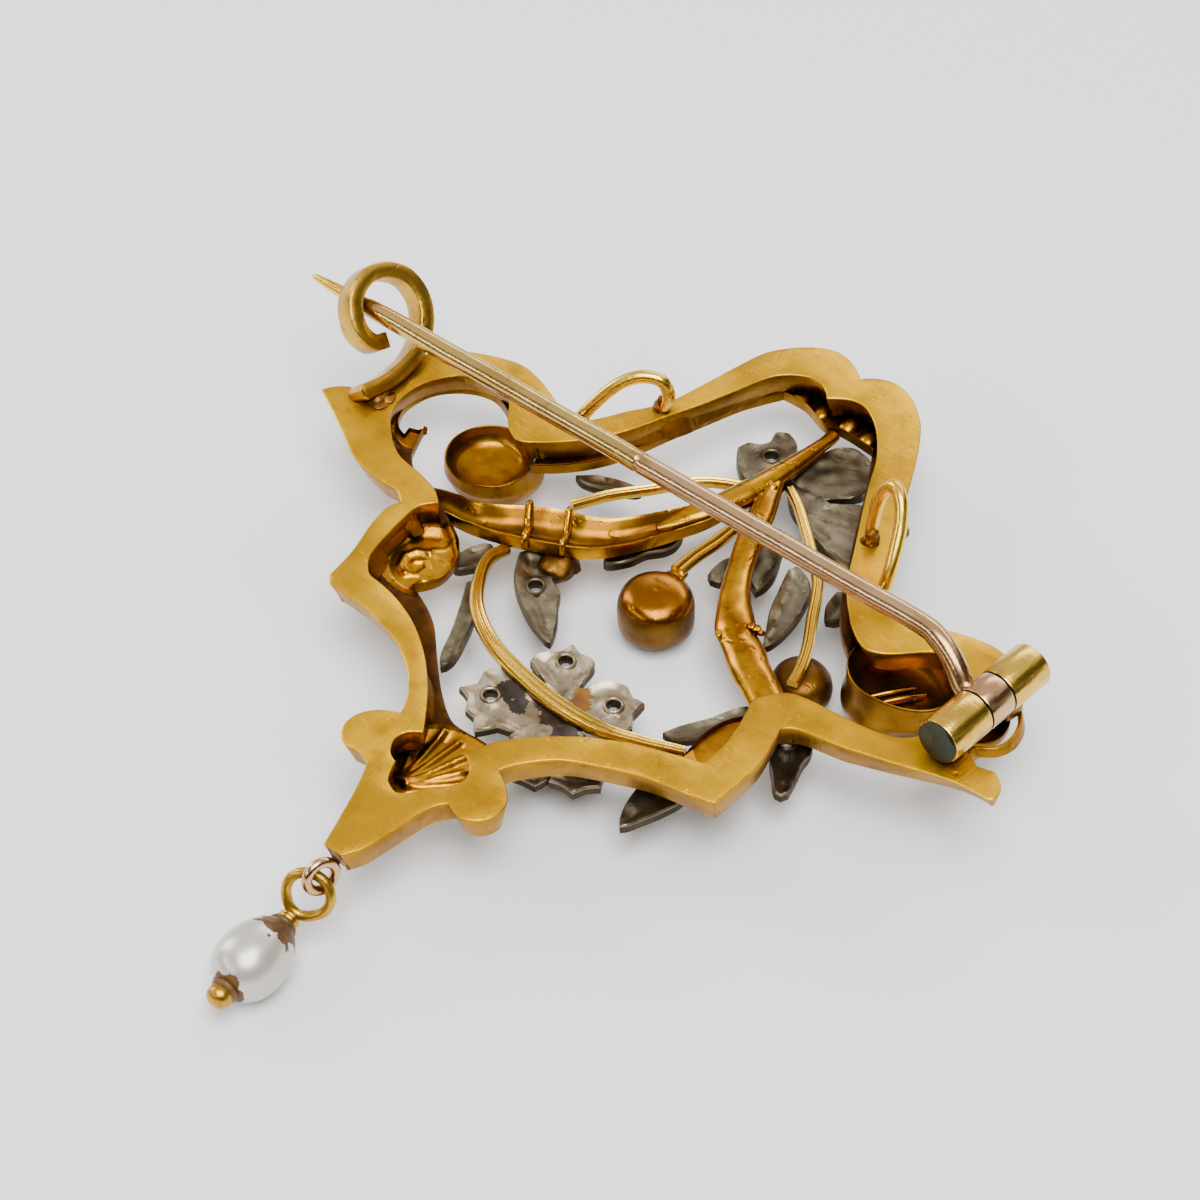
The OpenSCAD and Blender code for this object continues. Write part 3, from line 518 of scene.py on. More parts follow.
def strip_section(corner):
    """A square section with rounded corners."""
    made = []
    for k, way in enumerate([(1, 1), (-1, 1), (-1, -1), (1, -1)]):
        middle = np.array(way) * (1 - corner)
        for a in np.radians([90 * k + 5, 90 * k + 45, 90 * k + 85]):
            made.append(middle + corner * np.array([math.cos(a), math.sin(a)]))
    return np.array(made)


def sweep(solid, rows, side_of, section=ROUND, spacing=0.15, slot=0, shape=None, closed=False):
    """rows: x, y, z, width, height. The width lies square to the path and to side_of. slot may
    be a list with one for each side of the section."""
    s = spline(rows, spacing, closed)
    path = s[:, :3]
    if closed:
        way = unit(np.roll(path, -1, axis=0) - np.roll(path, 1, axis=0))
    else:
        way = unit(np.gradient(path, axis=0))
    across = unit(np.cross(way, np.broadcast_to(side_of, way.shape)))
    up = np.cross(across, way)
    m, n = len(section), len(s)
    points = (path[:, None] + across[:, None] * section[None, :, :1] * s[:, None, 3:4] / 2
              + up[:, None] * section[None, :, 1:] * s[:, None, 4:5] / 2).reshape(-1, 3)
    if shape is not None:
        points = shape(points, np.repeat(np.arange(n) / (n - 1), m))
    faces = [[i * m + k, i * m + (k + 1) % m, ((i + 1) % n) * m + (k + 1) % m,
              ((i + 1) % n) * m + k] for i in range(n if closed else n - 1) for k in range(m)]
    slots = (slot if isinstance(slot, list) else [slot] * m) * (len(faces) // m)
    if not closed:
        faces += [list(range(m))[::-1], [(n - 1) * m + k for k in range(m)]]
        slots += slots[:2]
    solid.add(points, faces, slots)


def turned(solid, profile, foot, axis=UP, sides=48, slot=0, shape=None, tube=False):
    """profile: radius and height along the axis, which starts at foot. slot may be a list with
    one for each band of the profile; a tube joins the last ring to the first."""
    axis = unit(axis)
    first = unit(np.cross(axis, [0.3, 0.9, 0.2]))
    second = np.cross(axis, first)
    points, n = [], len(profile)
    for r, h in profile:
        for a in np.linspace(0, 2 * np.pi, sides + 1)[:-1]:
            points.append(np.asarray(foot) + axis * h
                          + r * (first * math.cos(a) + second * math.sin(a)))
    points = np.array(points)
    if shape is not None:
        points = shape(points)
    bands = n if tube else n - 1
    slots = slot if isinstance(slot, list) else [slot] * bands
    for i in range(bands):
        j = (i + 1) % n
        solid.add([], [[i * sides + k, i * sides + (k + 1) % sides, j * sides + (k + 1) % sides,
                        j * sides + k] for k in range(sides)], slots[i])
    if not tube:
        solid.add([], [list(range(sides))[::-1]], slots[0])
        solid.add([], [[(n - 1) * sides + k for k in range(sides)]], slots[-1])
    solid.points += [tuple(p) for p in points]


def uneven(points, size, amount, seed=0.0):
    """A soft irregular push for each point, between minus and plus amount."""
    return np.array([noise.noise(Vector(p) / size + Vector((seed, 0, 0))) for p in points]) * amount


def uneven_plate(q, size, amount, seed=0.0):
    return uneven(np.column_stack([q, 0 * q[:, 0]]), size, amount, seed)


def ridge(q, line, width, height):
    """A soft raised line, as the lift of each point."""
    return height * np.exp(-(distance(q, np.asarray(line, float)) / width) ** 2)


print("tools ready")

# %% [markdown]
# ## The frame
# The frame is one casting of gold that was filed flat at the back. Its back is pale and dull
# from the file, its walls are brown where nothing rubs them, and below the back lie the floors
# of the scrolls, of the shell at the foot and of the fan at the top. It is made of four plates,
# cut from the CAD node at four heights, so its outline is the CAD outline. From x = 11 mm on
# the two wings lose up to 45% of their thickness over 5 mm. `RELIEF` has the middle and radius
# of each chased field, and `CURL` the lines of the left scroll with their width and height.

# %%
RELIEF = [((-7.4, 13.7), 1.75), ((7.6, 13.7), 1.9), ((0, 5.4), 2.4), ((0.1, 30.4), 2.4),
          ((-12.4, 18.7), 0.9)]
CURL = [([(-7.75, 12.75), (-8.2, 12.95), (-8.4, 13.5), (-8.2, 13.95), (-7.75, 14.15)], 0.13, 0.12),
        ([(-7.75, 12.75), (-7.35, 13), (-7.3, 13.5), (-7.6, 13.75), (-7.9, 13.5)], 0.11, 0.09),
        ([(-7.75, 14.15), (-7.3, 14), (-6.9, 14.1)], 0.1, 0.06),
        ([(-7.75, 14.4), (-7.4, 14.7), (-7.3, 15.2)], 0.1, 0.06),
        ([(-8.1, 15.6), (-7.4, 15.2), (-6.8, 14.7), (-6.45, 14.1), (-6.35, 13.4), (-6.6, 13),
          (-6.9, 12.8), (-6.95, 12.4)], 0.12, 0.22)]


def relief_share(q):
    """1 inside the chased fields, falling to 0 at their edge."""
    share = np.zeros(len(q))
    for middle, radius in RELIEF:
        far = np.linalg.norm(q - np.array(middle), axis=1) / radius
        share = np.maximum(share, np.clip((1.15 - far) / 0.3, 0, 1))
    return share


def chased(q):
    """Dished floors, with a curl by the catch's side, and ribs at the foot and the top."""
    lift = -0.24 * relief_share(q)
    for line, width, height in CURL:
        lift += ridge(q, line, width, height)
    for a in np.radians((-38, -20, -6, 7, 20, 33, 46)):
        rib = [(-0.9 + math.sin(a) * r, 4.3 + math.cos(a) * r) for r in (0.5, 3.3 - abs(a))]
        lift += ridge(q, rib, 0.13, 0.18)
    for x in (-1.75, -0.65, 0.6, 1.7):
        egg = np.hypot((q[:, 0] - x) / 0.42, (q[:, 1] - 30.15 + 0.12 * abs(x)) / 0.62)
        lift += 0.34 * np.clip(1 - egg ** 2, 0, 1) ** 0.5
    return lift + uneven_plate(q, 0.6, 0.015, 1) * relief_share(q)


def filed(q):
    return uneven_plate(q, 1.3, 0.012)


# INSIDE is the slot of the near-black painted shade: the inner walls, the third plate's lower side
# and the low plate's bare floor.
FACE, OUTSIDE, CHASED, EDGE, INSIDE = range(5)
LEAN = (0.16, 0.02)
solid = Solid()
cuts = {h: [smooth_loop(p) for p in outlines("frame", h)] for h in (-0.15, -0.4, -0.6, -1.35)}
solid.slab(cuts[-0.15], 0, -1.14, 0.06, 0.5, filed, steps=(0, 0.32), lean=LEAN,
           slots=(FACE, OUTSIDE, OUTSIDE, INSIDE))
solid.slab(cuts[-0.4], -0.3, -0.46, 0.01, steps=(0.13, 0.2),
           slots=(OUTSIDE, OUTSIDE, OUTSIDE, INSIDE))
solid.slab(cuts[-0.6], -0.45, -1.12, 0.01, steps=(0.18, 0.36), lean=LEAN,
           slots=(EDGE, OUTSIDE, INSIDE, INSIDE))
solid.slab(cuts[-1.35], -1.1, -1.6, 0.05, 0.28, chased, lambda q: relief_share(q) > 0,
           steps=(0.08, 0.08), slots=(CHASED, OUTSIDE, OUTSIDE, INSIDE))
tips = np.array(solid.points)
tips[:, 2] *= 1 - 0.45 * np.clip((np.abs(tips[:, 0]) - 11) / 5, 0, 1)
solid.points = [tuple(p) for p in tips]
# Faces of the low plate away from the chased fields also get the painted shade.
bare = relief_share(solid.middles()[:, :2]) < 0.3
solid.slots = [INSIDE if slot == CHASED and away else slot
               for slot, away in zip(solid.slots, bare)]
solid.make("frame_body", [FILED, WALL, FLOOR, BRIGHT, INNER_SHADE], "frame", 50)

# %% [markdown]
# ## The catch
# The catch is a flat strip of gold bent into a C and soldered on by its foot. The pin's point
# is pushed under the curl by hand. A rectangular section with rounded corners runs along the
# CAD part's own curve, and a few drops of solder lie round the foot.

# %%
def solder(solid, place, size, height, seed, slot=0):
    place = np.array(place, float)
    rings = [(size * math.cos(math.radians(a)), height * math.sin(math.radians(a)))
             for a in (-25, 0, 20, 40, 60, 78, 88)]
    turned(solid, rings, place, sides=20, slot=slot,
           shape=lambda p: p + uneven(p, size * 0.9, size * 0.5, seed)[:, None] * unit(p - place))


CATCH_WAY = np.radians(42.4)
FOOT_THIN, STRIP_THICK, STRIP_WIDE = 0.3, 0.66, 1.0
COIL = [(-0.5, 0.42), (-0.3, 0.4), (-0.05, 0.35), (0.7, 0.18), (1.6, 0.15), (2.65, 0.3),
        (3.66, 0.8), (4.27, 1.5), (4.5, 2.3), (4.3, 3.15), (3.55, 3.8), (2.6, 3.95),
        (1.65, 3.5), (1.15, 2.55), (1.35, 1.75), (1.9, 1.5)]
solid = Solid()
sweep(solid, [(-14.3 - math.sin(CATCH_WAY) * t, 18.2 + s, 0.05 + math.cos(CATCH_WAY) * t,
               min(STRIP_THICK, FOOT_THIN + 0.35 * k), STRIP_WIDE)
              for k, (s, t) in enumerate(COIL)],
      (math.cos(CATCH_WAY), 0, math.sin(CATCH_WAY)), strip_section(0.22), 0.12)
for k, (x, y, r, h) in enumerate([(-14.2, 18.55, 0.5, 0.22), (-13.9, 18.25, 0.4, 0.12),
                                  (-14.45, 18.3, 0.35, 0.2), (-13.75, 18.7, 0.3, 0.1)]):
    solder(solid, (x, y, 0.02), r, h, k * 3.1, 1)
solid.make("catch_strip", [CATCH, SOLDER], "catch")

# %% [markdown]
# ## The two chain loops
# Round drawn wire, bent over and soldered down at both ends, for the ends of a neck chain. The
# solder has gone brown and rough, so it has a metal of its own.

# %%
LOOPS = {
    "chain_loop_left": ((0.78, -0.63, 0), [
        (-5, 25.1, 0), (-4.7, 25.05, 0.6), (-4.65, 25, 1.1), (-4.95, 24.95, 1.6), (-5.6, 24.6, 1.7),
        (-6.15, 24.1, 1.5), (-6.55, 23.5, 1.1), (-6.95, 22.75, 0.4), (-7.1, 22.5, 0.02)]),
    "chain_loop_right": ((0.73, 0.68, 0), [
        (5.75, 24.3, 0), (5.65, 24.55, 1), (5.7, 24.85, 2), (6.15, 24.95, 2.75), (6.8, 24.55, 2.65),
        (7.25, 23.95, 2), (7.6, 23.1, 1.2), (7.75, 22.5, 0.5), (7.7, 22.2, 0.02)]),
}
for name, (side_of, rows) in LOOPS.items():
    solid = Solid()
    sweep(solid, [(*p, 0.54, 0.54) for p in rows], side_of, spacing=0.1)
    for k, end in enumerate((rows[0], rows[-1])):
        solder(solid, (end[0], end[1], 0), 0.36, 0.3, k * 2.7 + rows[0][0], 1)
    solder(solid, (rows[0][0] + 0.1, rows[0][1] - 0.05, 0.42), 0.27, 0.3, 7.3, 1)
    solid.make(name + "_wire", [BRIGHT, SOLDER], name)

# %% [markdown]
# ## The branch
# The spray's wood is cast gold that is hollow at the back. The left arm is a channel with a
# crisp upper edge and a thin bright lower one; a knot with two raised rings crosses it. The
# trunk and the right arm are full and round. One swept bar makes each of the three, and they
# run into each other at the fork. Small drops make the broken ring on the right arm, the lumps
# at the fork and one green spot.

# %%
CHANNEL = np.array([(-1, -0.7), (-1, 0.1), (-0.97, 0.55), (-0.86, 0.78), (-0.72, 0.6),
                    (-0.5, 0), (-0.2, -0.4), (0.15, -0.5), (0.45, -0.25), (0.68, 0.25),
                    (0.85, 0.72), (0.97, 0.75), (1, 0.5), (1, -0.6), (0.6, -1), (-0.6, -1)])


def knotty(amount, size):
    return lambda p, t: p + uneven(p, size, amount, 3)[:, None] * np.array([0.3, 0.3, 1])


solid = Solid()
sweep(solid, [
    (-10.6, 16.2, -1.5, 1.2, 0.5), (-9.8, 16.45, -1.45, 1.15, 0.6),
    (-8.9, 16.65, -1.4, 1.15, 0.75), (-8.2, 16.7, -1.4, 1.2, 0.85),
    (-7.5, 16.85, -1.38, 1.35, 0.9), (-6.65, 17.2, -1.38, 1.65, 0.9),
    (-5.76, 17.7, -1.38, 1.95, 0.9), (-4.56, 18.3, -1.38, 2.05, 0.9),
    (-3.67, 18.7, -1.38, 1.9, 0.9), (-2.75, 19.5, -1.4, 1.6, 0.85), (-1.8, 20.9, -1.4, 1.35, 0.8),
    (-1, 22.3, -1.4, 1.15, 0.75), (-0.6, 23.3, -1.42, 0.9, 0.65)
], UP, CHANNEL, 0.1, [0] * 4 + [2] * 6 + [0] * 6, knotty(0.03, 0.6))
sweep(solid, [
    (-2, 21, -1.6, 0.5, 0.4), (-1.5, 21.7, -1.5, 0.8, 0.6), (-1, 22.5, -1.42, 1, 0.8),
    (-0.6, 23.5, -1.38, 1.15, 0.85), (-0.2, 24.8, -1.36, 1.2, 0.85), (0, 26, -1.38, 1, 0.75),
    (0.2, 27.4, -1.4, 0.8, 0.65), (0.32, 28.6, -1.42, 0.6, 0.5), (0.35, 29.35, -1.42, 0.62, 0.45)
], UP, spacing=0.12, shape=knotty(0.025, 0.8))
sweep(solid, [
    (0.1, 26, -1.45, 0.6, 0.6), (0.75, 24.2, -1.4, 1.05, 0.8), (1.35, 22.6, -1.4, 1.1, 0.8),
    (1.95, 21.2, -1.4, 1.05, 0.75), (2.6, 20, -1.4, 1.2, 0.8), (3.4, 18.95, -1.4, 1.5, 0.85),
    (3.85, 18.45, -1.4, 1.62, 0.88), (4.2, 18.15, -1.4, 1.5, 0.78), (4.8, 17.75, -1.4, 1.6, 0.85),
    (5.5, 17.2, -1.4, 1.55, 0.85), (6.3, 16.75, -1.42, 1.5, 0.75), (7.3, 16.1, -1.45, 1.4, 0.6)
], UP, spacing=0.12, shape=knotty(0.03, 0.8))
for top, foot, w in (((-6.35, 18.55), (-5.2, 16.85), 0.34), ((-4.95, 19.3), (-3.85, 17.45), 0.28)):
    top, foot = np.array(top), np.array(foot)
    sweep(solid, [(*(top + (foot - top) * t), z, w, w * 1.3) for t, z in
                  ((0, -1.4), (0.1, -0.98), (0.25, -1.15), (0.55, -1.34), (0.8, -1.15),
                   (0.92, -1.02), (1, -1.4))], UP, spacing=0.08)
for k in range(7):
    bow = (k - 3) ** 2
    solder(solid, (3.62 + 0.2 * k - 0.1, 18.02 + 0.17 * k - 0.035 * bow + 0.1, -1.06 - 0.02 * bow),
           0.17, 0.1, k * 1.3)
solder(solid, (-0.42, 25, -1), 0.13, 0.06, 1, 1)
for x, y, z, r in ((0.45, 24.6, -1.25, 0.4), (0.2, 25.2, -1.2, 0.35), (0.9, 24, -1.3, 0.35)):
    solder(solid, (x, y, z), r, 0.22, x * 5)
solid.make("branch_wood", [BRANCH, GREEN, HOLLOW], "branch", 50)

# %% [markdown]
# ## The thin wires
# Flat drawn wires with fine grooves along them: the garland that crosses the lower flower, the
# two arches beside the trunk, and the double stem of the middle cup.

# %%
def grooved(strands):
    """The section of a flat wire with a rounded rib for each strand."""
    xs = np.linspace(-1, 1, 6 * strands + 1)
    top = 1 - 0.35 * (0.5 - 0.5 * np.cos(xs * strands * np.pi + (strands + 1) * np.pi))
    top -= 0.35 * xs ** 4
    upper = np.stack([xs, top], 1)
    return np.vstack([upper[::-1], [(-1, -0.8), (-0.8, -1), (0.8, -1), (1, -0.8)]])


def level(points, size):
    return [(x, y, -1.63, *size) for x, y in points]


WIRES = {
    "garland_wire": (3, [
        (-5.9, 16.6, -1.75, 0.42, 0.4), (-6, 15.7, -1.62, 0.45, 0.45),
        (-5.65, 14.7, -1.6, 0.5, 0.45), (-4.65, 13.35, -1.6, 0.55, 0.45),
        (-3, 12.3, -1.58, 0.6, 0.45), (-1.1, 11.75, -1.56, 0.66, 0.45),
        (0.9, 11.45, -1.56, 0.66, 0.45), (2.9, 11.5, -1.58, 0.6, 0.45),
        (4.4, 11.95, -1.6, 0.5, 0.4), (6, 12.6, -1.6, 0.4, 0.35)]),
    "arch_wire_left": (2, [
        *level([(-5.4, 19.9), (-5, 20.6), (-4.5, 21.4), (-3.5, 22.6), (-2.4, 24), (-1.6, 24.6)],
               (0.42, 0.4)),
        (-0.8, 25, -1.63, 0.38, 0.35)]),
    "arch_wire_right": (2, [
        (0.7, 26, -1.63, 0.38, 0.35), (1.6, 25.4, -1.63, 0.44, 0.4),
        *level([(3.2, 24), (4.6, 22.6), (5.6, 20.9), (6.3, 19.7)], (0.46, 0.4)),
        (6.75, 18.7, -1.6, 0.46, 0.4), (7, 17.8, -1.6, 0.42, 0.35)]),
}
for name, (strands, rows) in WIRES.items():
    solid = Solid()
    sweep(solid, rows, UP, grooved(strands), 0.12)
    solid.make(name + "_band", [BRIGHT], name, 60)
solid = Solid()
for side in (-1, 1):
    sweep(solid, [(x + side * apart, y, z, w, 0.5) for x, apart, y, z, w in
                  ((0.42, 0.13, 23.1, -1.5, 0.26), (0.36, 0.13, 21.8, -1.48, 0.27),
                   (0.2, 0.13, 20.6, -1.46, 0.28), (0.17, 0.15, 19.5, -1.42, 0.3))],
          UP, spacing=0.12)
sweep(solid, [(0.2, 19.9, -1.75, 0.5, 0.3), (0.17, 19.6, -1.7, 0.7, 0.45),
              (0.17, 19.3, -1.65, 0.9, 0.5)], UP, spacing=0.1)
solid.make("cup_stem_wires", [BRIGHT], "cup_stem", 60)

# %% [markdown]
# ## Cups and collets
# Each was raised or turned from sheet to hold a stone at the front. The two small cups are
# closed at the back; the two collets are open, so their floors show. Each is a profile turned
# round its axis, with the worn upper side, the brown side and the floor in their own metals.
# The centre cup's side is a darker brown than its back, which is painted shade on its steep side.

# %%
def cup(solid, x, y, r, top, slots):
    """A closed cup of radius r whose back lies at height -top; slots are for back and side."""
    profile = [(0, -top), (r * 0.3, -top - 0.01), (r * 0.52, -top - 0.04), (r * 0.68, -top - 0.1),
               (r * 0.8, -top - 0.2), (r * 0.89, -top - 0.34), (r * 0.95, -top - 0.5),
               (r * 0.985, -top - 0.7), (r, -top - 0.95), (r, -2.7), (r * 0.98, -3.1),
               (r * 0.95, -3.2), (r - 0.22, -3.2), (r - 0.25, -3.1), (r - 0.25, -2.8), (0, -2.8)]
    turned(solid, profile, (x, y, 0), slot=[slots[0]] * 6 + [slots[1]] * 9,
           shape=lambda p: p + uneven(p, r * 0.8, 0.05, x)[:, None] * np.array([0.6, 0.6, 1]))


solid = Solid()
# Its steep side takes the darker brown as painted shade.
cup(solid, 0.2, 18.2, 1.5, 1.35, (0, 1))
solid.make("centre_cup_shell", [COPPER, BROWN], "centre_cup", 60)
solid = Solid()
cup(solid, 6.75, 18.75, 1.2, 1.88, (1, 1))
solid.make("side_cup_shell", [COPPER, BROWN], "side_cup", 60)

# %% [markdown]
# The left collet's upper part is shifted 0.4 mm towards the foot, and the right one's is drawn
# out towards the hinge. Two ribs lie on the right one's floor.

# %%
PAN_FLOOR = -2.3


def pan(rim):
    """The profile of an open collet: under side, bulge, rim and the floor inside."""
    return [(0, -2.75), (1.43, -2.75), (1.45, -3.1), (1.5, -3.13), (1.62, -3.12), (1.8, -2.95),
            (1.93, -2.7), (1.95, -2.45), (1.92, -2.25), (1.86, -2.1), (1.82, -1.95),
            (1.8, -1.8), (1.8, rim - 0.1), (1.78, rim - 0.02), (1.75, rim), (1.71, rim - 0.02),
            (1.68, rim - 0.08)] + [(r, rim + (PAN_FLOOR - rim) * share) for r, share in
                                   ((1.62, 0.4), (1.52, 0.6), (1.36, 0.78), (1.15, 0.9),
                                    (0.9, 0.97), (0.5, 1), (0, 1))]


for side, spot, shift, stretch, rim in (
        ("left", (-9.6, 20.3), 0.4, 0, -1.5), ("right", (9.85, 20.3), 0, 0.5, -0.85)):
    def worn(p):
        share = np.clip((p[:, 2] + 2.45) / 0.4, 0, 1)
        p = p + uneven(p, 0.7, 0.04, 9)[:, None] * np.array([0.2, 0.2, 1])
        p[:, 1] -= shift * share
        p[:, 0] += stretch * share * np.maximum(p[:, 0] - spot[0], 0)
        return p

    solid = Solid()
    turned(solid, pan(rim), (*spot, 0), slot=[1] * 19 + [2] * 4, shape=worn)
    if side == "right":
        for dx in (-0.1, 0.4):
            x, y = spot[0] + dx, spot[1]
            sweep(solid, [(x - 0.5, y - 0.9, -2.25, 0.2, 0.25),
                          (x + 0.1, y - 0.2, -2.15, 0.28, 0.35),
                          (x + 0.7, y + 0.6, -2.2, 0.2, 0.3)], UP, spacing=0.1)
    solid.make(f"collet_{side}_pan", [BRANCH, PAN, FLOOR],
               "collet_" + side, 60)

# %% [markdown]
# ## Silver flowers and leaves
# Sawn and chased silver, dull at the back. Each keeps the CAD node's outline; the back is
# hollowed a little, rises to a thin rim and has a few creases, and a raised collar stands round
# each drilled hole. The low flower is stained black (slot 2) and copper brown (slot 3) in
# ragged spots, which `STAINS` gives as x, y and radius.

# %%
STAINS = {2: [(-1.15, 11.1, 0.55), (-0.5, 10.8, 0.4), (-1.5, 10.6, 0.35), (-0.9, 11.8, 0.5),
              (0.35, 11.45, 0.4), (1, 11, 0.45), (1.8, 10.85, 0.45)],
          3: [(1.4, 12.25, 0.46), (1.15, 12.6, 0.36)]}
HOLES = {"flower_low": [(-0.4, 13.5), (2.4, 12.9), (-1.5, 10.4), (3.3, 9.75)],
         "flower_high": [(-1.1, 27.2)], "leaf_a": [(-3.8, 15.8)], "leaf_f": [(8.5, 15.5)]}
CREASES = {
    "flower_low": [[(0.8, 14.2), (0.85, 12.4)], [(-1.6, 12.2), (0.3, 12), (2.6, 11.6)],
                   [(0.6, 11.2), (1, 9.6)], [(2.4, 10.6), (2.5, 9)]],
    "flower_high": [[(0.15, 26.6), (0.2, 28.6)], [(0.2, 26.6), (3, 27)],
                    [(1.2, 25.6), (4.6, 26.2)]],
    "leaf_a": [[(-5, 16.9), (-3, 15), (-1.7, 14.1)]], "leaf_d": [[(6.2, 8.8), (6.3, 11.8)]],
    "leaf_f": [[(8.2, 16), (9.8, 13.5)]], "leaf_g": [[(3.5, 22.5), (4.8, 19.2)]]}
LEAF_BACK = -1.87
for name in [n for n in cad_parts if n.startswith(("flower_", "leaf_"))]:
    loops = [smooth_loop(p, 0.12, 30) for p in outlines(name, -2)]
    edge_lines = [np.vstack([p, p[:1]]) for p in loops]

    def hollow(q):
        near = np.min([distance(q, line) for line in edge_lines], axis=0)
        lift = -0.13 * (1 - np.exp(-(near / 0.3) ** 2)) + 0.04
        for line in CREASES.get(name, []):
            lift = lift - ridge(q, line, 0.13, 0.1)
        return lift + uneven_plate(q, 0.55, 0.07, len(name))

    stained = name == "flower_low"
    solid = Solid()
    solid.slab(loops, LEAF_BACK, -2.25, 0.07, 0.1 if stained else 0.16, hollow)
    if stained:
        middles = solid.middles()
        ragged = uneven(middles, 0.3, 0.2) + uneven(middles, 0.1, 0.12)
        for slot, x, y, r in [(slot, *spot) for slot in STAINS for spot in STAINS[slot]]:
            far = np.hypot(middles[:, 0] - x, middles[:, 1] - y) + ragged
            solid.slots = [slot if d < r and old != 1 else old
                           for d, old in zip(far, solid.slots)]
    for x, y in HOLES.get(name, []):
        turned(solid, [(0.26, -0.3), (0.26, 0.02), (0.28, 0.07), (0.33, 0.1), (0.38, 0.07),
                       (0.42, 0), (0.5, -0.12), (0.5, -0.3)], (x, y, LEAF_BACK), tube=True)
    solid.make(name + "_back", [PETAL if stained else SILVER, DULL, SOOT, PATCH],
               name, 45)
solid = Solid()
solder(solid, (-3.9, 17.3, -2), 0.85, 0.45, 2)
solid.make("branch_lobe", [BROWN])

# %% [markdown]
# ## The pin and the hinge
# The pin is a round rod in two alloys, yellow towards the point and redder towards the hinge.
# It leaves the catch as a thin blunt point, and bends down into a barrel of three knuckles. The
# middle knuckle belongs to the pin and swings with it; the outer two are soldered to the frame,
# and a steel rivet runs through. The seams between the knuckles are dark.

# %%
BARREL = np.array([14.1, 16.9, 1])
ALONG = np.array([math.sin(math.radians(5)), math.cos(math.radians(5)), 0])
TIP, END = np.array([-16.4, 20.5, 2.15]), np.array([11.2, 20.3, 2.15])
WAY = unit(END - TIP)


def knuckle(solid, start, length, near, far):
    """A turned tube; near and far are the slots of its two end faces."""
    turned(solid, [(0.43, 0.02), (0.45, 0), (0.84, 0), (0.88, 0.02), (0.9, 0.07),
                   (0.9, length - 0.07), (0.88, length - 0.02), (0.84, length), (0.45, length),
                   (0.43, length - 0.02)], BARREL + ALONG * start, ALONG, tube=True,
           slot=[near] * 3 + [0] * 3 + [far] * 3 + [0])


def rod(rows):
    """Rows for sweep, from lengths along the pin and radii there."""
    return [(*(TIP + WAY * h), 2 * r, 2 * r) for h, r in rows]


solid = Solid()
knuckle(solid, 2.06, 1.2, 3, 3)
sweep(solid, rod([(-2.9, 0.06), (-2.8, 0.11), (-2.4, 0.17), (-1.6, 0.24), (-0.9, 0.28),
                  (-0.3, 0.3), (-0.02, 0.31)]), UP, spacing=0.2, slot=1)
gold_part = rod([(0, 0.34), (0.1, 0.36), (1, 0.38), (4, 0.43), (9, 0.43), (12, 0.43),
                 (13.9, 0.43), (13.98, 0.4)])
rose_part = rod([(13.98, 0.4), (14.06, 0.43), (16, 0.43), (18, 0.43), (22, 0.43), (25, 0.43)])
bend = [(10.9, 20.31, 2.15, 0.84, 0.84), (11.6, 20.2, 2.1, 0.86, 0.86),
        (12.3, 20, 1.85, 0.88, 0.86), (12.85, 19.8, 1.45, 0.91, 0.86),
        (13.25, 19.65, 1.05, 0.94, 0.86), (13.7, 19.6, 0.9, 0.94, 0.78)]
for rows, slot in ((gold_part, 2), (rose_part + bend, 0)):
    sweep(solid, rows, (0, 0.999, 0.04), spacing=0.25, slot=slot,
          shape=lambda p, t: p + uneven(p, 2.2, 0.02, 6)[:, None] * np.array([0, 0.6, 1]))
solid.make("pin_body", [ROSE, BRIGHT, SHANK, STEEL], "pin_stem", body="pin")

SOLDER_TOP = 0.42
for name, start, length, near, far, base in (
        ("hinge_knuckle_near", 0, 2, 0, 2, 0.02), ("hinge_knuckle_far", 3.32, 1.95, 2, 0, -0.42)):
    solid = Solid()
    knuckle(solid, start, length, near, far)
    sweep(solid, [(*(BARREL + ALONG * (start + h))[:2], (base + SOLDER_TOP) / 2, w,
                   SOLDER_TOP - base)
                  for h, w in ((0.15, 0.9), (0.3, 1.1), (0.6, 1.15), (0.9, 1.1), (1.05, 0.9))],
          UP, strip_section(0.3), 0.2, slot=1)
    solid.make(name + "_tube", [KNUCKLE, SOLDER, STEEL], name)

# %% [markdown]
# ## The pearl drop
# A small ring hangs in the frame's lower tip and a wire loop in the ring; the loop's ends are
# wrapped round a peg that is glued into the pearl. The drop hangs loose on the real brooch and
# lies on the table here. The loop is drawn out to a teardrop, and its collar, the old brown
# glue and the pearl's own uneven shape are added.

# %%
RING = np.array([0.05, -0.6, -0.85])
NECK = np.array([-0.5, -1.72, -2.5])
LOOP_WAY = unit(NECK - RING)
LOOP_NORMAL = unit(np.cross(LOOP_WAY, np.cross(LOOP_WAY, (0.44, -0.54, 0.72))))
LOOP = RING + LOOP_WAY * 0.92
normal = unit((0.93, -0.28, 0.2))
first = unit(np.cross(normal, (0.2, 0.3, 0.9)))
second = np.cross(normal, first)
solid = Solid()
sweep(solid, [(*(RING + 0.58 * (first * math.cos(a) + second * math.sin(a))), 0.4, 0.4)
              for a in np.radians(np.arange(0, 360, 20))], normal, spacing=0.12, closed=True)
solid.make("drop_ring_wire", [ROSE], "drop_ring")

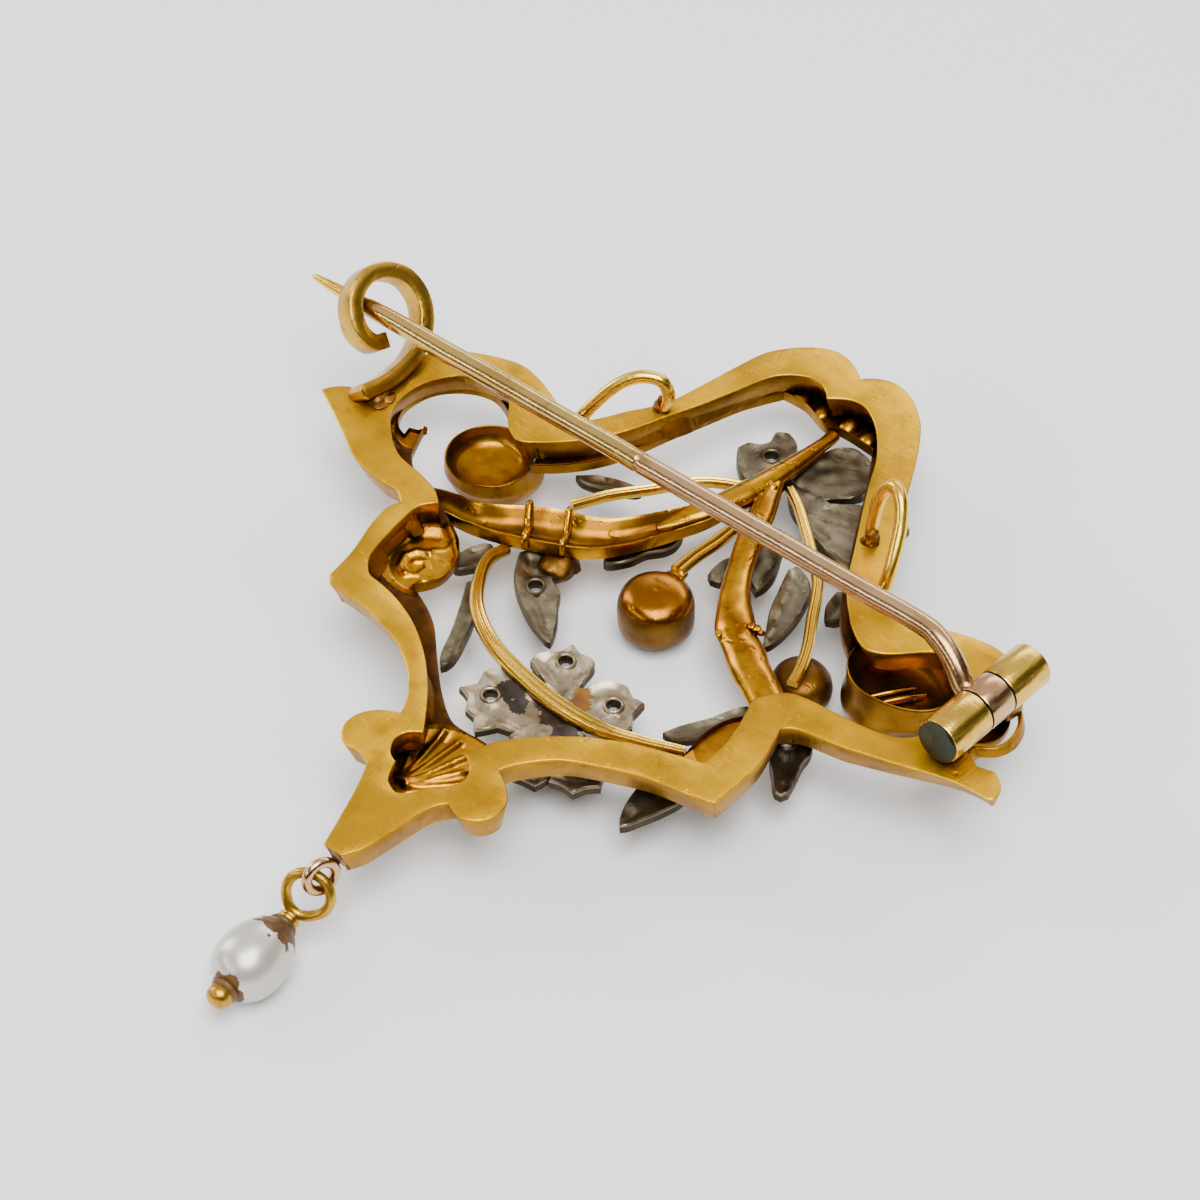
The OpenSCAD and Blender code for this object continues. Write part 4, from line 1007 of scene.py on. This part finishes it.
side = np.cross(LOOP_NORMAL, LOOP_WAY)
solid = Solid()
sweep(solid, [(*(LOOP + LOOP_WAY * a + side * b), 0.4, 0.4) for a, b in
              ((-0.86, 0), (-0.78, 0.36), (-0.5, 0.7), (-0.1, 0.84), (0.3, 0.76), (0.65, 0.5),
               (0.86, 0.18), (0.86, -0.18), (0.65, -0.5), (0.3, -0.76), (-0.1, -0.84),
               (-0.5, -0.7), (-0.78, -0.36))], LOOP_NORMAL, spacing=0.12, closed=True)
solid.make("drop_loop_wire", [CATCH], "drop_loop")

PEARL_TOP, PEARL_END = np.array([-0.52, -2.05, -2.56]), np.array([-0.13, -5.65, -2.57])
PEARL_WAY = unit(PEARL_END - PEARL_TOP)
solid = Solid()
turned(solid, [(1.325 * math.sin(a) * (1 - 0.13 * math.cos(a)), 1.75 * (1 - math.cos(a)))
               for a in np.radians(np.linspace(4, 176, 90))], PEARL_TOP, PEARL_WAY, 120,
       shape=lambda p: p + (uneven(p, 1.3, 0.04, 2)[:, None]
                            * unit(p - (PEARL_TOP + PEARL_END) / 2)))
middles = solid.middles()
down = (middles - PEARL_TOP) @ PEARL_WAY
round_way = unit(middles - PEARL_TOP - down[:, None] * PEARL_WAY)
upper = np.clip(round_way @ np.array([0.5, -0.3, 0.8]), 0, 1)
glued = down < 0.4 + 0.95 * upper + uneven(middles, 0.35, 0.5) + uneven(middles, 0.12, 0.15)
glued |= down > 3.3 + uneven(middles, 0.35, 0.12)
solid.slots = [int(g) for g in glued]
solid.make("pearl_body", [PEARL, GLUE], "pearl")
solid = Solid()
turned(solid, [(0.2, -0.42), (0.34, -0.4), (0.42, -0.3), (0.4, -0.22), (0.44, -0.14),
               (0.42, -0.06), (0.5, 0), (0.56, 0.1), (0.5, 0.22), (0.3, 0.3)],
       PEARL_TOP, PEARL_WAY, 32, slot=[0] * 6 + [1] * 3)
turned(solid, [(0.2, 3.3), (0.5, 3.36), (0.56, 3.5), (0.5, 3.62), (0.46, 3.66), (0.5, 3.74),
               (0.47, 3.95), (0.38, 4.1), (0.2, 4.2), (0.05, 4.22)], PEARL_TOP, PEARL_WAY, 32,
       slot=[1] * 4 + [0] * 5)
solid.make("pearl_caps", [CATCH, GLUE], "pearl_peg")

# %% [markdown]
# ## Finish of the pieces that stay as the CAD part has them
# The rivet and the stones only need their material.

# %%
for name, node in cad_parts.items():
    if name.startswith(("hinge_rivet", "stone_", "small_stone_")):
        node.data.materials.clear()
        node.data.materials.append(STEEL if name == "hinge_rivet" else STONE)
print("nodes with a finish:", sum(len(o.data.materials) > 0 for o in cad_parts.values()))

# %% [markdown]
# ## Floor, light and camera
# The brooch lies on a pale, plain table in soft light from large panels. The sky is dark on
# the camera's side and bright on the far side, so that round gold shows light and dark
# streaks. `AIM` and `DISTANCE` are millimetres of the CAD part.

# %%
bpy.ops.mesh.primitive_plane_add(size=2.0, location=(0, 0, 0))
floor = bpy.context.object
floor.name = "floor"
floor.data.materials.append(plain("table", (0.93, 0.93, 0.93), 0.7))


def aimed(name, data, place, way):
    """An object at place that looks along way."""
    o = bpy.data.objects.new(name, data)
    o.location = place
    o.rotation_mode = "QUATERNION"
    o.rotation_quaternion = Vector(way).to_track_quat("-Z", "Y")
    bpy.context.scene.collection.objects.link(o)
    return o


for name, place, size, watts in (
        ("overhead", (0.12, -0.1, 0.42), (0.3, 0.3), 3.2),
        ("left", (-0.42, -0.02, 0.2), (0.12, 0.3), 0.9),
        ("back", (-0.1, 0.5, 0.3), (0.5, 0.12), 1.0),
        ("strip", (-0.2, -0.34, 0.22), (0.5, 0.03), 0.6)):
    light = bpy.data.lights.new(name, "AREA")
    light.shape = "RECTANGLE"
    light.size, light.size_y = size
    light.energy = watts
    aimed(name, light, place, -Vector(place))
world = bpy.data.worlds.new("studio")
world.use_nodes = True
sky = world.node_tree
away = sky.nodes.new("ShaderNodeVectorMath")
away.operation = "DOT_PRODUCT"
away.inputs[1].default_value = unit((-0.35, 0.45, 0.82))
sky.links.new(sky.nodes.new("ShaderNodeTexCoord").outputs["Generated"], away.inputs[0])
ramp = sky.nodes.new("ShaderNodeValToRGB")
for place, value in ((0.0, 0.30), (0.1, 0.35), (0.2, 0.12), (0.3, 0.05), (0.56, 0.06),
                     (0.64, 0.75), (0.85, 1.0), (0.9, 0.75)):
    stop = ramp.color_ramp.elements.new(place)
    stop.color = (value, value, value, 1)
sky.links.new(away.outputs["Value"], ramp.inputs["Fac"])
sky.links.new(ramp.outputs["Color"], sky.nodes["Background"].inputs["Color"])
sky.nodes["Background"].inputs["Strength"].default_value = 0.95
bpy.context.scene.world = world

AZIMUTH, ELEVATION, DISTANCE = math.radians(39.13), math.radians(46.41), 135.1
FIELD_OF_VIEW = math.radians(18.92)
AIM = np.array([-0.31, 15.42, 0.0])
back = np.array([math.sin(AZIMUTH) * math.cos(ELEVATION),
                 -math.cos(AZIMUTH) * math.cos(ELEVATION), math.sin(ELEVATION)])
lens = bpy.data.cameras.new("camera")
lens.sensor_width = 36.0
lens.lens = lens.sensor_width / 2 / math.tan(FIELD_OF_VIEW / 2)
lens.clip_start, lens.clip_end = 0.005, 5
lens.dof.use_dof = False
bpy.context.scene.camera = aimed("camera", lens, Vector(to_row(AIM + back * DISTANCE)), -back)
